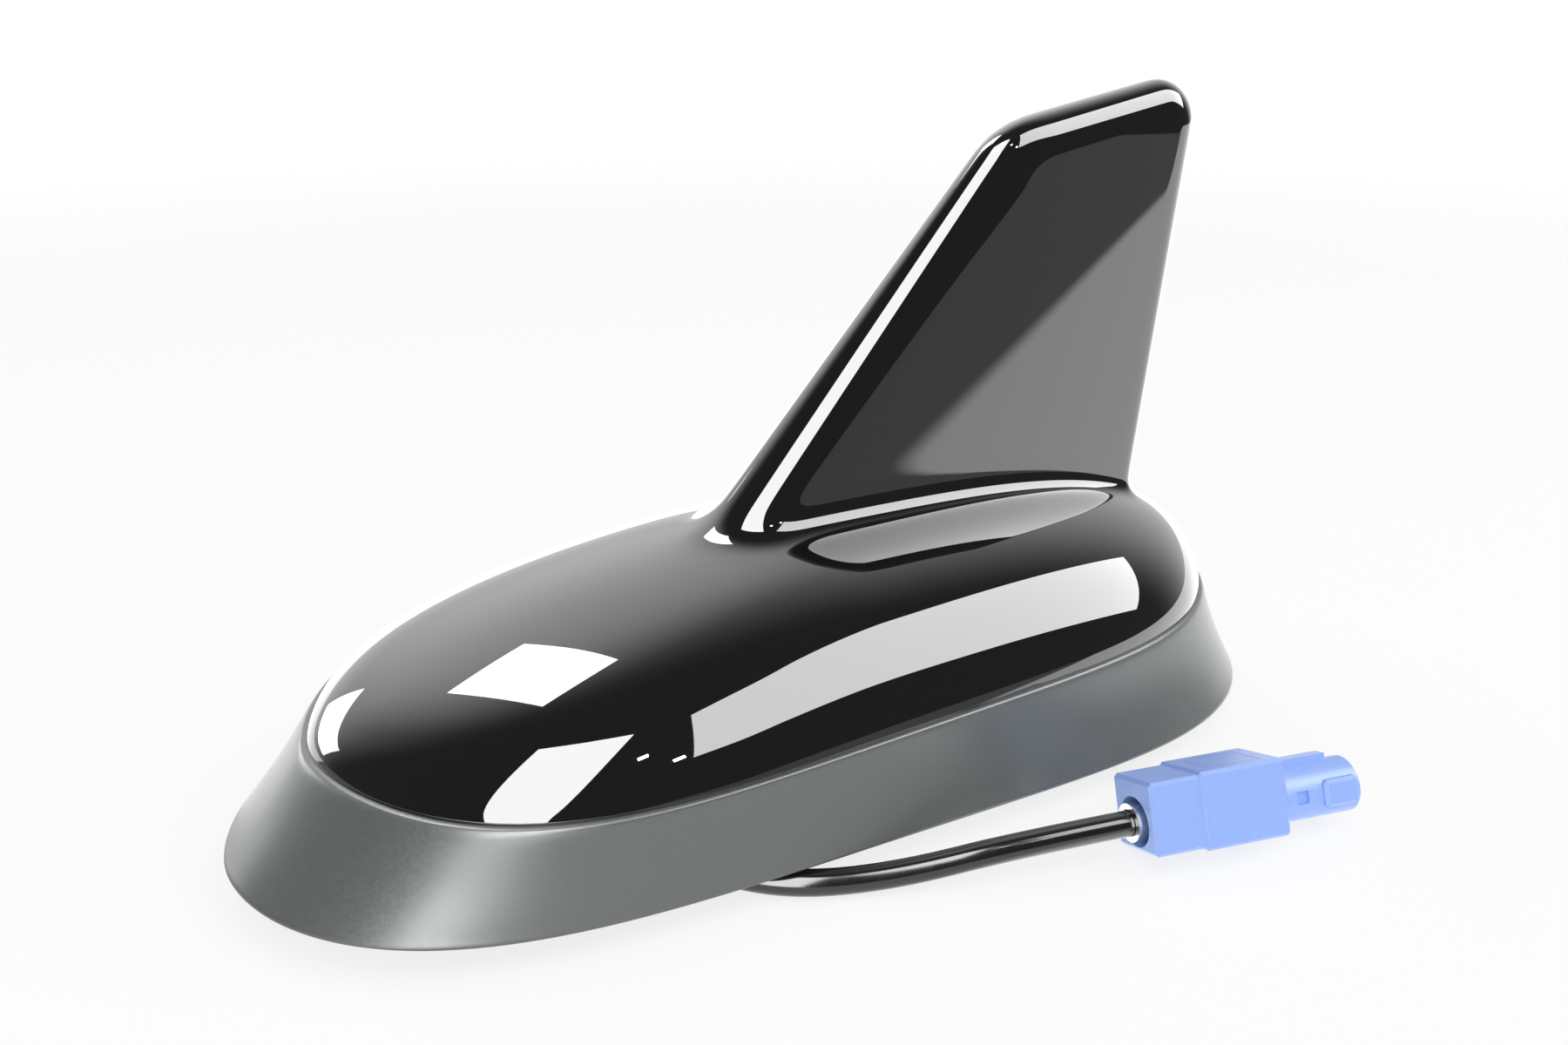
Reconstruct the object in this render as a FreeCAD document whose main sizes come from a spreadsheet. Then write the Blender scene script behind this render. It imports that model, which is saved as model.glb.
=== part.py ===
import FreeCAD, Part
import os
from math import atan2, cos, degrees, pi, radians, sin, tan

# Car roof antenna: a hollow gloss cover with a swept fin sits on a flared skirt.
# A cast base plate closes it from below and carries the receiver board.
# A short coax lead leaves under the skirt and ends in a keyed plug.
# Frame: +Z up from the roof surface, +X towards the rear, symmetric about y = 0.

Vector = FreeCAD.Vector
doc = FreeCAD.newDocument("roof_antenna")
dims = doc.addObject("Spreadsheet::Sheet", "dims")

DIMENSIONS = {
    # base outline at the skirt's lower rim
    "base_length": 140.0, "base_width": 63.6, "rim_height": 3.6,
    "rim_fullness": 4.34, "rim_bluntness": 1.83, "rim_taper": 0.09,
    # outline of the seam between the skirt and the cover
    "skirt_rise": 11.9, "flare_nose": 10.2, "flare_rear": 3.2, "flare_side": 3.2,
    "seam_fullness": 4.5, "seam_bluntness": 1.55, "seam_taper": -0.09,
    "skirt_wall": 2.6, "skirt_step": 0.5, "foot_width": 4.0, "foot_height": 1.6,
    # dome of the cover
    "cover_wall": 2.4, "crown_rise": 16.6, "crown_x": 0.0,
    "crown_front_fullness": 1.5, "crown_front_bluntness": 1.6,
    "crown_rear_fullness": 3.3, "crown_rear_bluntness": 1.89,
    "section_fullness": 2.14, "section_bluntness": 1.52,
    # fin of the cover
    "fin_root_level": 32.1, "fin_lead_x": -10.2, "fin_lead_angle": 48.3,
    "fin_shoulder_x": 36.0, "fin_shoulder_level": 78.7, "fin_top_slope": 10.6,
    "fin_trail_x": 56.3, "fin_trail_lean": 7.0,
    "fin_front_corner": 14.0, "fin_rear_corner": 5.5,
    "fin_root_thickness": 10.8, "fin_top_thickness": 7.4,
    "fin_lead_round": 6.0, "fin_top_round": 4.5, "fin_trail_round": 3.4,
    "root_fillet": 5.0, "root_fillet_rear": 2.4,
    # screw bosses of the cover
    "boss_diameter": 6.6, "boss_nose_inset": 22.5, "boss_front_y": 12.0,
    "boss_rear_inset": 26.0, "boss_rear_y": 17.0,
    "screw_length": 9.6, "screw_diameter": 2.4, "screw_clearance": 0.1, "screw_tip_gap": 2.0,
    "screw_head_diameter": 5.6, "screw_head_height": 1.9, "head_clearance": 0.3, "head_recess": 0.1,
    # base plate
    "plate_thickness": 3.6, "plate_fit": 0.3, "rib_thickness": 2.0, "rib_height": 3.0,
    "rib_length": 22.0, "rib_span": 34.0,
    "insert_x": 18.0, "insert_diameter": 9.0, "insert_length": 10.0, "insert_bore": 5.0,
    "insert_flush": 0.6, "insert_wall": 2.6,
    # foam gasket under the plate
    "gasket_inset": 5.0, "gasket_width": 6.0, "channel_width": 7.0, "channel_length": 24.0,
    "channel_shift": 2.9,
    # cable well and grommet
    "lead_nose_inset": 40.0, "lead_y": -9.0, "lead_diameter": 3.0, "lead_clearance": 0.05,
    "well_y": -9.6, "well_length": 12.0, "well_width": 13.0, "well_wall": 1.6, "well_roof": 12.0,
    "grommet_diameter": 6.0, "grommet_flange": 8.0, "grommet_flange_height": 1.0,
    "grommet_lip": 0.4,
    # receiver board
    "board_nose_inset": 28.0, "board_length": 40.0, "board_width": 30.0, "board_thickness": 1.6,
    "board_level": 13.6, "board_hole_inset": 2.5, "standoff_diameter": 5.0,
    "board_screw_diameter": 1.6, "board_screw_clearance": 0.1, "board_screw_length": 5.0,
    "board_tip_gap": 0.5,
    "board_head_diameter": 3.6, "board_head_height": 1.3,
    # ceramic patch and its feed
    "patch_offset": -2.0, "patch_side": 25.0, "patch_height": 4.0, "tape_side": 24.0,
    "tape_thickness": 0.6, "feed_offset": 2.0, "feed_diameter": 1.0, "feed_clearance": 0.1,
    "feed_head_diameter": 2.2, "feed_head_height": 0.4,
    # shield can and small components
    "can_offset": 10.0, "can_y": 3.0, "can_length": 14.0, "can_width": 12.0, "can_height": 3.0,
    "can_wall": 0.4, "chip_end_inset": 5.6, "chip_length": 2.0, "chip_width": 1.4, "chip_height": 0.9,
    "chip_pitch": 3.6, "filter_side": 3.0, "filter_height": 1.2,
    # plug on the lead
    "plug_x": 21.5, "plug_y": -43.2, "plug_axis_height": 4.9, "plug_heading": -12.9,
    "plug_roll": -23.0, "plug_lift": 0.8,
    "plug_rear_length": 6.2, "plug_rear_width": 8.0, "plug_rear_height": 8.3,
    "plug_body_length": 11.2, "plug_body_width": 8.5, "plug_body_height": 8.9,
    "plug_nose_length": 10.4, "plug_nose_diameter": 6.6, "plug_edge": 0.5,
    "plug_key_width": 1.6, "plug_key_height": 0.8, "plug_key_length": 8.4, "plug_bevel": 0.4,
    "catch_length": 4.6, "catch_width": 3.2, "catch_height": 0.5, "catch_setback": 0.4,
    "dimple_side": 1.5, "dimple_depth": 0.4, "dimple_place": 2.6,
    "plug_cavity_diameter": 5.2, "plug_rear_bore": 5.8, "plug_rear_depth": 7.0,
    "plug_bore": 4.6, "plug_front_depth": 10.8, "piece_clearance": 0.05,
    "lock_length": 7.0, "lock_width": 5.4, "lock_depth": 1.6, "lock_clearance": 0.1,
    "ferrule_out": 0.8, "ferrule_length": 8.6, "ferrule_diameter": 4.4,
    "shell_length": 15.0, "shell_tip_length": 8.0, "shell_tip_diameter": 3.8,
    "shell_bore": 3.0, "insulator_length": 12.0, "insulator_recess": 1.0,
    "contact_diameter": 0.9, "contact_proud": 2.0, "contact_tail": 0.5,
    # route of the lead from the grommet to the plug
    "lead_drop": 4.2, "lead_low": 1.7, "bend_ahead": 1.6, "bend_y": -12.4,
    "channel_in_ahead": 5.6, "channel_in_y": -20.4, "channel_out_ahead": 12.5, "channel_out_y": -29.6,
    "rim_ahead": 24.2, "rim_y": -34.4, "lead_straight": 12.0, "lead_stop": 1.0,
}

for row, (alias, value) in enumerate(DIMENSIONS.items(), start=1):
    dims.set("A%d" % row, alias.replace("_", " "))
    dims.set("B%d" % row, str(value))
    dims.setAlias("B%d" % row, alias)
doc.recompute()


def size(alias):
    return float(dims.get(alias))


# Levels and shared places, written once as formulas of the sheet
SEAM_LEVEL = "(dims.rim_height + dims.skirt_rise)"
PLATE_TOP = "(dims.rim_height + dims.plate_thickness)"
ROOF_UNDER = "(dims.well_roof - dims.well_wall)"
LEAD_START = "(%s - dims.grommet_flange_height)" % ROOF_UNDER
BOARD_TOP = "(dims.board_level + dims.board_thickness)"
PATCH_BOTTOM = "(%s + dims.tape_thickness)" % BOARD_TOP
PATCH_TOP = "(%s + dims.patch_height)" % PATCH_BOTTOM
HEAD_SEAT = "(dims.rim_height + dims.screw_head_height + dims.head_recess)"
PLUG_LENGTH = "(dims.plug_rear_length + dims.plug_body_length + dims.plug_nose_length)"
LEAD_X = "(dims.lead_nose_inset - dims.base_length / 2)"
BOARD_X = "(dims.board_nose_inset + dims.board_length / 2 - dims.base_length / 2)"
PATCH_X = "(%s + dims.patch_offset)" % BOARD_X
CAN_X = "(%s + dims.can_offset)" % BOARD_X
CHIP_X = "(%s + dims.board_length / 2 - dims.chip_end_inset)" % BOARD_X

seam_level = size("rim_height") + size("skirt_rise")
plate_top = size("rim_height") + size("plate_thickness")


def put(obj, x="0", y="0", z="0"):
    for axis, text in zip("xyz", (x, y, z)):
        obj.setExpression("Placement.Base." + axis, text)
    return obj


def cylinder(name, diameter, height, x="0", y="0", z="0"):
    obj = doc.addObject("Part::Cylinder", name)
    obj.setExpression("Radius", "(%s) / 2" % diameter)
    obj.setExpression("Height", height)
    return put(obj, x, y, z)


def rod(name, diameter, length, start="0"):
    """A cylinder along +X, for the pieces of the plug."""
    obj = doc.addObject("Part::Cylinder", name)
    obj.setExpression("Radius", "(%s) / 2" % diameter)
    obj.setExpression("Height", length)
    obj.Placement = FreeCAD.Placement(Vector(), FreeCAD.Rotation(Vector(0, 1, 0), 90))
    obj.setExpression("Placement.Base.x", start)
    return obj


def box(name, length, width, height, x="0", y="0", z="0"):
    """A box centred on x and y that stands on z."""
    obj = doc.addObject("Part::Box", name)
    obj.setExpression("Length", length)
    obj.setExpression("Width", width)
    obj.setExpression("Height", height)
    return put(obj, "(%s) - (%s) / 2" % (x, length), "(%s) - (%s) / 2" % (y, width), z)


def fuse(name, shapes):
    obj = doc.addObject("Part::MultiFuse", name)
    obj.Shapes = shapes
    obj.Refine = True
    return obj


def cut(name, base, tools):
    obj = doc.addObject("Part::Cut", name)
    obj.Base = base
    obj.Tool = tools[0] if len(tools) == 1 else fuse(name + "_tools", tools)
    obj.Refine = False
    return obj


def solid(name, shape):
    obj = doc.addObject("Part::Feature", name)
    obj.Shape = shape
    return obj


# Plan outlines
class Outline:
    """Super-ellipse in plan, nose at -x; one power fills it out and one blunts its ends."""

    points = 72

    def __init__(self, half_length, half_width, centre, fullness, bluntness, taper):
        self.values = (half_length, half_width, centre, fullness, bluntness, taper)

    def half_width(self, x):
        half_length, half_width, centre, fullness, bluntness, taper = self.values
        share = max(-1.0, min(1.0, (x - centre) / half_length))
        return half_width * (1 - abs(share) ** fullness) ** (1 / bluntness) * (1 + taper * share)

    def x_at(self, share):
        """x for a share of the length, from 0 at the nose to 1 at the rear."""
        half_length, _, centre = self.values[:3]
        return centre + half_length * (2 * share - 1)

    def inset(self, distance):
        half_length, half_width = self.values[:2]
        return Outline(half_length - distance, half_width - distance, *self.values[2:])

    def towards(self, other, share):
        return Outline(*(a + (b - a) * share for a, b in zip(self.values, other.values)))

    def wire(self, z):
        corners = []
        for i in range(self.points):
            turn = 2 * pi * i / self.points
            x = self.x_at((1 - cos(turn)) / 2)
            side = 1 if turn <= pi else -1
            corners.append(Vector(x, side * self.half_width(x), z))
        curve = Part.BSplineCurve()
        curve.interpolate(corners, PeriodicFlag=True)
        return Part.Wire([curve.toShape()])


rim = Outline(size("base_length") / 2, size("base_width") / 2, 0.0,
              size("rim_fullness"), size("rim_bluntness"), size("rim_taper"))
seam = Outline((size("base_length") - size("flare_nose") - size("flare_rear")) / 2,
               size("base_width") / 2 - size("flare_side"),
               (size("flare_nose") - size("flare_rear")) / 2,
               size("seam_fullness"), size("seam_bluntness"), size("seam_taper"))


def skirt_outline(z, inset=0.0):
    """The flared skirt's own outline at a level, moved inwards by inset."""
    return rim.towards(seam, (z - size("rim_height")) / size("skirt_rise")).inset(inset)


def lofted(name, low, low_z, high, high_z):
    return solid(name, Part.makeLoft([low.wire(low_z), high.wire(high_z)], True, True))


# Cover: dome
class Dome:
    """Height of a dome that stands on a plan outline, crowned along y = 0."""

    def __init__(self, outline, base, rise):
        self.outline = outline
        self.base = base
        self.rise = rise

    def height(self, x, y):
        nose, tail = self.outline.x_at(0), self.outline.x_at(1)
        crown = size("crown_x")
        if x < crown:
            share = (crown - x) / (crown - nose)
            end = "crown_front_"
        else:
            share = (x - crown) / (tail - crown)
            end = "crown_rear_"
        ridge = (1 - min(1.0, share) ** size(end + "fullness")) ** (1 / size(end + "bluntness"))
        half = self.outline.half_width(x)
        across = min(1.0, abs(y) / half) if half > 1e-9 else 0.0
        section = (1 - across ** size("section_fullness")) ** (1 / size("section_bluntness"))
        return self.base + self.rise * ridge * section


COLUMNS, DOME_ROWS = 24, 8
COLUMN_SHARES = [(1 - cos(pi * j / COLUMNS)) / 2 for j in range(COLUMNS + 1)]
SPINE_SHARE = 0.6


def dome_solid(dome):
    """Half of the dome's skin as one smooth surface, its mirror image and a flat base."""
    crown = size("crown_x")
    rows = []
    for i in range(DOME_ROWS + 1):
        rise = 1 - cos(pi / 2 * i / DOME_ROWS)
        row = []
        for share in COLUMN_SHARES:
            edge_x = dome.outline.x_at(share)
            edge_y = dome.outline.half_width(edge_x) if 0 < share < 1 else 0.0
            spine_x = crown + SPINE_SHARE * (edge_x - crown)
            x = edge_x + (spine_x - edge_x) * rise
            y = edge_y * (1 - rise)
            row.append(Vector(x, y, dome.base if i == 0 else dome.height(x, y)))
        rows.append(row)
    surface = Part.BSplineSurface()
    surface.interpolate(rows)
    faces = [surface.toShape()]
    faces.append(faces[0].mirror(Vector(), Vector(0, 1, 0)))
    base_edges = [edge for face in faces for edge in face.Edges
                  if abs(edge.BoundBox.ZMax - dome.base) < 1e-6]
    faces.append(Part.Face(Part.Wire(Part.sortEdges(base_edges)[0])))
    return closed(faces)


def closed(faces):
    """A solid from faces that meet edge to edge."""
    shell = Part.makeShell(faces)
    shell.sewShape()
    body = Part.makeSolid(shell)
    return body if body.Volume > 0 else body.reversed()


# Cover: fin, drawn in side view as three straight edges with two rounded corners
class Edge:
    """A straight edge of the fin's side view, rounded over to a depth."""

    def __init__(self, x, z, angle, side, depth):
        self.x, self.z, self.depth = x, z, depth
        self.along = (cos(radians(angle)), sin(radians(angle)))
        self.out = (side * self.along[1], -side * self.along[0])

    def at(self, z, angle=0.0):
        """The point at a level on the line that lies at an angle round the edge."""
        inward = self.depth * (1 - cos(angle))
        x, start = self.x - self.out[0] * inward, self.z - self.out[1] * inward
        return x + self.along[0] * (z - start) / self.along[1], z


class Corner:
    """A rounded corner between two edges of the fin's side view."""

    def __init__(self, first, second, radius):
        self.first, self.second, self.radius = first, second, radius
        a, b = first.out, second.out
        spread = a[0] * b[1] - a[1] * b[0]
        first_reach = first.x * a[0] + first.z * a[1] - radius
        second_reach = second.x * b[0] + second.z * b[1] - radius
        self.x = (first_reach * b[1] - second_reach * a[1]) / spread
        self.z = (second_reach * a[0] - first_reach * b[0]) / spread

    def at(self, share, angle):
        """The point at a share of the corner, on the line at an angle round the edge."""
        turns = [atan2(edge.out[1], edge.out[0]) for edge in (self.first, self.second)]
        turn = turns[0] + (turns[1] - turns[0]) * share
        depth = self.first.depth + (self.second.depth - self.first.depth) * share
        reach = self.radius - depth * (1 - cos(angle))
        return self.x + reach * cos(turn), self.z + reach * sin(turn)


root_level = size("fin_root_level")
lead_edge = Edge(size("fin_lead_x"), root_level, size("fin_lead_angle"), -1, size("fin_lead_round"))
top_edge = Edge(size("fin_shoulder_x"), size("fin_shoulder_level"), size("fin_top_slope"), -1,
                size("fin_top_round"))
trail_edge = Edge(size("fin_trail_x"), root_level, 90 - size("fin_trail_lean"), 1,
                  size("fin_trail_round"))
front_corner = Corner(lead_edge, top_edge, size("fin_front_corner"))
rear_corner = Corner(trail_edge, top_edge, size("fin_rear_corner"))
ROUND_ANGLES = [pi / 2 * k / 4 for k in range(-4, 5)]
FRONT_SHARES = [k / 4 for k in range(5)]
REAR_SHARES = [k / 6 for k in range(7)]


def fin_half(z):
    """Half thickness of the fin's flat faces, which lean together towards the top."""
    rise = (z - root_level) / (size("fin_shoulder_level") - root_level)
    low, high = size("fin_root_thickness") / 2, size("fin_top_thickness") / 2
    return low + (high - low) * rise


def round_section(place):
    """A section across the fin's rounded edge, from one flat face over to the other."""
    points = []
    for angle in ROUND_ANGLES:
        x, z = place(angle)
        points.append(Vector(x, fin_half(z) * sin(angle), z))
    curve = Part.BSplineCurve()
    curve.interpolate(Points=points, Parameters=[(a + pi / 2) / pi for a in ROUND_ANGLES])
    return curve


def corner_sections(corner, shares):
    return [round_section(lambda angle, share=share: corner.at(share, angle)) for share in shares]


def fin_solid(foot):
    """The fin down to a foot level: ruled edges, skinned corners and two flat faces."""
    low_lead = round_section(lambda angle: lead_edge.at(foot, angle))
    low_trail = round_section(lambda angle: trail_edge.at(foot, angle))
    front = corner_sections(front_corner, FRONT_SHARES)
    rear = corner_sections(rear_corner, REAR_SHARES)
    faces = [Part.makeRuledSurface(a.toShape(), b.toShape())
             for a, b in ((low_lead, front[0]), (front[-1], rear[-1]), (rear[0], low_trail))]
    for sections in (front, rear):
        skin = Part.BSplineSurface()
        skin.buildFromNSections(sections)
        faces.append(skin.toShape())
    rounded = list(faces)
    foot_lines = []
    for side, end in ((-1, 0.0), (1, 1.0)):
        line = Part.LineSegment(low_lead.value(end), low_trail.value(end)).toShape()
        foot_lines.append(line)
        border = [edge for face in rounded for edge in face.Edges
                  if all(abs(v.Y - side * fin_half(v.Z)) < 1e-4 for v in edge.Vertexes)]
        faces.append(Part.Face(Part.Wire(Part.sortEdges(border + [line])[0])))
    foot_edges = [low_lead.toShape(), low_trail.toShape()] + foot_lines
    faces.append(Part.Face(Part.Wire(Part.sortEdges(foot_edges)[0])))
    return closed(faces)


# Cover: one half is filleted along the fin's root, then mirrored to make the whole skin
outer_dome = Dome(seam, seam_level, size("crown_rise"))
inner_dome = Dome(seam.inset(size("cover_wall")), seam_level,
                  size("crown_rise") - size("cover_wall"))
FIN_FOOT = seam_level + size("crown_rise") / 3
cover_blank = fuse("cover_blank", [solid("dome", dome_solid(outer_dome)),
                                   solid("fin", fin_solid(FIN_FOOT))])
near_side = doc.addObject("Part::Box", "near_side")
near_side.setExpression("Length", "dims.base_length")
near_side.setExpression("Width", "dims.base_width / 2")
near_side.setExpression("Height", "2 * dims.fin_shoulder_level")
put(near_side, "-dims.base_length / 2", "0", "0")
cover_half = doc.addObject("Part::MultiCommon", "cover_half")
cover_half.Shapes = [cover_blank, near_side]
doc.recompute()


def root_radius(x):
    """The root fillet tapers from the fin's front to its rear."""
    share = (x - size("fin_lead_x")) / (size("fin_trail_x") - size("fin_lead_x"))
    share = max(0.0, min(1.0, share))
    return size("root_fillet") + (size("root_fillet_rear") - size("root_fillet")) * share


ROOT_TOLERANCE = 0.3
root_edges = []
for index, edge in enumerate(cover_half.Shape.Edges, start=1):
    first, last = edge.ParameterRange
    start, middle, end = (edge.valueAt(at) for at in (first, (first + last) / 2, last))
    on_dome = abs(middle.z - outer_dome.height(middle.x, middle.y)) < ROOT_TOLERANCE
    if on_dome and middle.y > ROOT_TOLERANCE and middle.z > FIN_FOOT:
        root_edges.append((index, root_radius(start.x), root_radius(end.x)))
root_fillet = doc.addObject("Part::Fillet", "root_fillet")
root_fillet.Base = cover_half
root_fillet.Edges = root_edges
far_half = doc.addObject("Part::Mirroring", "far_half")
far_half.Source = root_fillet
far_half.Normal = Vector(0, 1, 0)
cover_skin = fuse("cover_skin", [root_fillet, far_half])
dome_hollow = solid("dome_hollow", dome_solid(inner_dome))


def fin_core():
    """The tapered hollow inside the fin, open to the dome below."""
    wall = size("cover_wall")
    sections = []
    for z in (FIN_FOOT, size("fin_shoulder_level") - size("fin_front_corner")):
        front = lead_edge.at(z)[0] + lead_edge.depth + wall
        rear = trail_edge.at(z)[0] - trail_edge.depth - wall
        half = fin_half(z) - wall
        corners = [Vector(front, -half, z), Vector(rear, -half, z),
                   Vector(rear, half, z), Vector(front, half, z)]
        sections.append(Part.makePolygon(corners + corners[:1]))
    return Part.makeLoft(sections, True, True)


hollow = fuse("cover_hollow", [dome_hollow, solid("fin_core", fin_core())])
BOSS_FRONT_X = "(dims.boss_nose_inset - dims.base_length / 2)"
BOSS_REAR_X = "(dims.base_length / 2 - dims.boss_rear_inset)"
BOSSES = [(BOSS_FRONT_X, "dims.boss_front_y"), (BOSS_FRONT_X, "-dims.boss_front_y"),
          (BOSS_REAR_X, "dims.boss_rear_y"), (BOSS_REAR_X, "-dims.boss_rear_y")]


def at_bosses(name, diameter, height, z):
    return [cylinder("%s_%d" % (name, i), diameter, height, x, y, z)
            for i, (x, y) in enumerate(BOSSES)]


boss_tops = doc.addObject("Part::MultiCommon", "boss_tops")
boss_tops.Shapes = [fuse("boss_columns", at_bosses("boss_column", "dims.boss_diameter",
                                                   "dims.crown_rise", SEAM_LEVEL)), cover_skin]
boss_feet = at_bosses("boss_foot", "dims.boss_diameter",
                      "%s - %s" % (SEAM_LEVEL, PLATE_TOP), PLATE_TOP)
pilots = at_bosses("boss_pilot", "dims.screw_diameter + 2 * dims.screw_clearance",
                   "dims.screw_length", PLATE_TOP)
cover = cut("cover", fuse("cover_with_bosses",
                          [cut("cover_shell", cover_skin, [hollow]), boss_tops] + boss_feet), pilots)

# Skirt: a flared ring under the cover's edge, with a foot that rests on the plate
skirt_wall = size("skirt_wall")
skirt_ring = cut(
    "skirt_ring",
    lofted("skirt_outside", rim, size("rim_height"), seam.inset(-size("skirt_step")), seam_level),
    [lofted("skirt_inside", rim.inset(skirt_wall), size("rim_height"),
            seam.inset(skirt_wall - size("skirt_step")), seam_level)])
foot_top = plate_top + size("foot_height")
skirt_foot = cut(
    "skirt_foot",
    lofted("foot_outside", skirt_outline(plate_top, skirt_wall / 2), plate_top,
           skirt_outline(foot_top, skirt_wall / 2), foot_top),
    [lofted("foot_inside", skirt_outline(plate_top, skirt_wall + size("foot_width")), plate_top,
            skirt_outline(foot_top, skirt_wall + size("foot_width")), foot_top)])
skirt = fuse("skirt", [skirt_ring, skirt_foot])

# Route of the free coax lead: down out of the grommet, under the plate and up to the plug
lead_top = size("well_roof") - size("well_wall") - size("grommet_flange_height")
plug_heading = radians(size("plug_heading"))
plug_axis = Vector(cos(plug_heading), sin(plug_heading), 0)
plug_rear = Vector(size("plug_x"), size("plug_y"), size("plug_axis_height"))
lead_end = size("ferrule_length") - size("ferrule_out") - size("lead_stop")
lead_x = size("lead_nose_inset") - size("base_length") / 2
route = [
    Vector(lead_x, size("lead_y"), lead_top),
    Vector(lead_x, size("lead_y"), lead_top - size("lead_drop")),
    Vector(lead_x + size("bend_ahead"), size("bend_y"), size("lead_low")),
    Vector(lead_x + size("channel_in_ahead"), size("channel_in_y"), size("lead_low")),
    Vector(lead_x + size("channel_out_ahead"), size("channel_out_y"), size("lead_low")),
    Vector(lead_x + size("rim_ahead"), size("rim_y"), size("lead_low")),
    plug_rear - plug_axis * (size("ferrule_out") + size("lead_straight")),
    plug_rear + plug_axis * lead_end,
]

# Base plate: floor, ribs, insert boss, standoffs and the raised cable well
plate = lofted("plate_floor",
               skirt_outline(size("rim_height"), skirt_wall + size("plate_fit")), size("rim_height"),
               skirt_outline(plate_top, skirt_wall + size("plate_fit")), plate_top)
INSERT_OUTER = "(dims.insert_diameter + 2 * dims.insert_wall)"
INSERT_HEIGHT = "(dims.insert_length + dims.insert_wall)"
insert_boss = cylinder("insert_boss", INSERT_OUTER, INSERT_HEIGHT,
                       "dims.insert_x", "0", "dims.insert_flush")
ribs = [box("rib_long", "dims.rib_length + %s" % INSERT_OUTER, "dims.rib_thickness",
            "dims.rib_height", "dims.insert_x + dims.rib_length / 2", "0", PLATE_TOP),
        box("rib_across", "dims.rib_thickness", "dims.rib_span", "dims.rib_height",
            "dims.insert_x", "0", PLATE_TOP)]
HOLE_X = "(dims.board_length / 2 - dims.board_hole_inset)"
HOLE_Y = "(dims.board_width / 2 - dims.board_hole_inset)"
BOARD_HOLES = [("%s %s %s" % (BOARD_X, a, HOLE_X), "%s%s" % (b, HOLE_Y))
               for a in "+-" for b in ("", "-")]


def at_board_holes(name, diameter, height, z):
    return [cylinder("%s_%d" % (name, i), diameter, height, x, y, z)
            for i, (x, y) in enumerate(BOARD_HOLES)]


standoffs = at_board_holes("standoff", "dims.standoff_diameter",
                           "dims.board_level - %s" % PLATE_TOP, PLATE_TOP)
well = box("well", "dims.well_length", "dims.well_width", "dims.well_roof - dims.rim_height",
           LEAD_X, "dims.well_y", "dims.rim_height")
well_inside = box("well_inside", "dims.well_length - 2 * dims.well_wall",
                  "dims.well_width - 2 * dims.well_wall", "%s - dims.rim_height" % ROOF_UNDER,
                  LEAD_X, "dims.well_y", "dims.rim_height")
well_hole = cylinder("well_hole", "dims.grommet_diameter", "dims.well_wall",
                     LEAD_X, "dims.lead_y", ROOF_UNDER)
insert_seat = cylinder("insert_seat", "dims.insert_diameter", "dims.insert_length",
                       "dims.insert_x", "0", "dims.insert_flush")
screw_holes = at_bosses("screw_hole", "dims.screw_diameter + 2 * dims.head_clearance",
                        "dims.plate_thickness", "dims.rim_height")
counterbores = at_bosses("counterbore", "dims.screw_head_diameter + 2 * dims.head_clearance",
                         "%s - dims.rim_height" % HEAD_SEAT, "dims.rim_height")
board_pilots = at_board_holes("board_pilot",
                              "dims.board_screw_diameter + 2 * dims.board_screw_clearance",
                              "dims.board_screw_length", "dims.board_level - dims.board_screw_length")
base_plate = cut("base_plate", fuse("plate_body", [plate, insert_boss, well] + ribs + standoffs),
                 [well_inside, well_hole, insert_seat] + screw_holes + counterbores + board_pilots)

# Foam gasket: the ring that the antenna stands on, with a channel for the lead
gasket_out = rim.inset(size("gasket_inset"))
gasket_in = rim.inset(size("gasket_inset") + size("gasket_width"))
channel_way = (route[4] - route[3]).normalize()
channel_middle = route[3] + channel_way * size("channel_shift")
channel = doc.addObject("Part::Box", "lead_channel")
channel.setExpression("Length", "dims.channel_length")
channel.setExpression("Width", "dims.channel_width")
channel.setExpression("Height", "dims.rim_height")
channel_turn = FreeCAD.Rotation(Vector(0, 0, 1), degrees(atan2(channel_way.y, channel_way.x)))
channel_corner = channel_turn.multVec(Vector(size("channel_length"), size("channel_width"), 0)) * -0.5
channel.Placement = FreeCAD.Placement(
    Vector(channel_middle.x + channel_corner.x, channel_middle.y + channel_corner.y, 0), channel_turn)
seal_gasket = cut("seal_gasket",
                  lofted("gasket_outside", gasket_out, 0, gasket_out, size("rim_height")),
                  [lofted("gasket_inside", gasket_in, 0, gasket_in, size("rim_height")), channel])

# Fasteners and the threaded roof insert
screws = [fuse("cover_screw_%d" % i, [shank, head]) for i, (shank, head) in enumerate(zip(
    at_bosses("screw_shank", "dims.screw_diameter",
              "%s + dims.screw_length - dims.screw_tip_gap - %s" % (PLATE_TOP, HEAD_SEAT), HEAD_SEAT),
    at_bosses("screw_head", "dims.screw_head_diameter", "dims.screw_head_height",
              "%s - dims.screw_head_height" % HEAD_SEAT)))]
cover_screws = doc.addObject("Part::Compound", "cover_screws")
cover_screws.Links = screws
roof_insert = cut("roof_insert",
                  cylinder("insert_body", "dims.insert_diameter", "dims.insert_length",
                           "dims.insert_x", "0", "dims.insert_flush"),
                  [cylinder("insert_thread", "dims.insert_bore", "dims.insert_length",
                            "dims.insert_x", "0", "dims.insert_flush")])
small_screws = [fuse("board_screw_%d" % i, [shank, head]) for i, (shank, head) in enumerate(zip(
    at_board_holes("board_shank", "dims.board_screw_diameter",
                   "dims.board_screw_length + dims.board_thickness - dims.board_tip_gap",
                   "dims.board_level - dims.board_screw_length + dims.board_tip_gap"),
    at_board_holes("board_head", "dims.board_head_diameter", "dims.board_head_height", BOARD_TOP)))]
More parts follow.
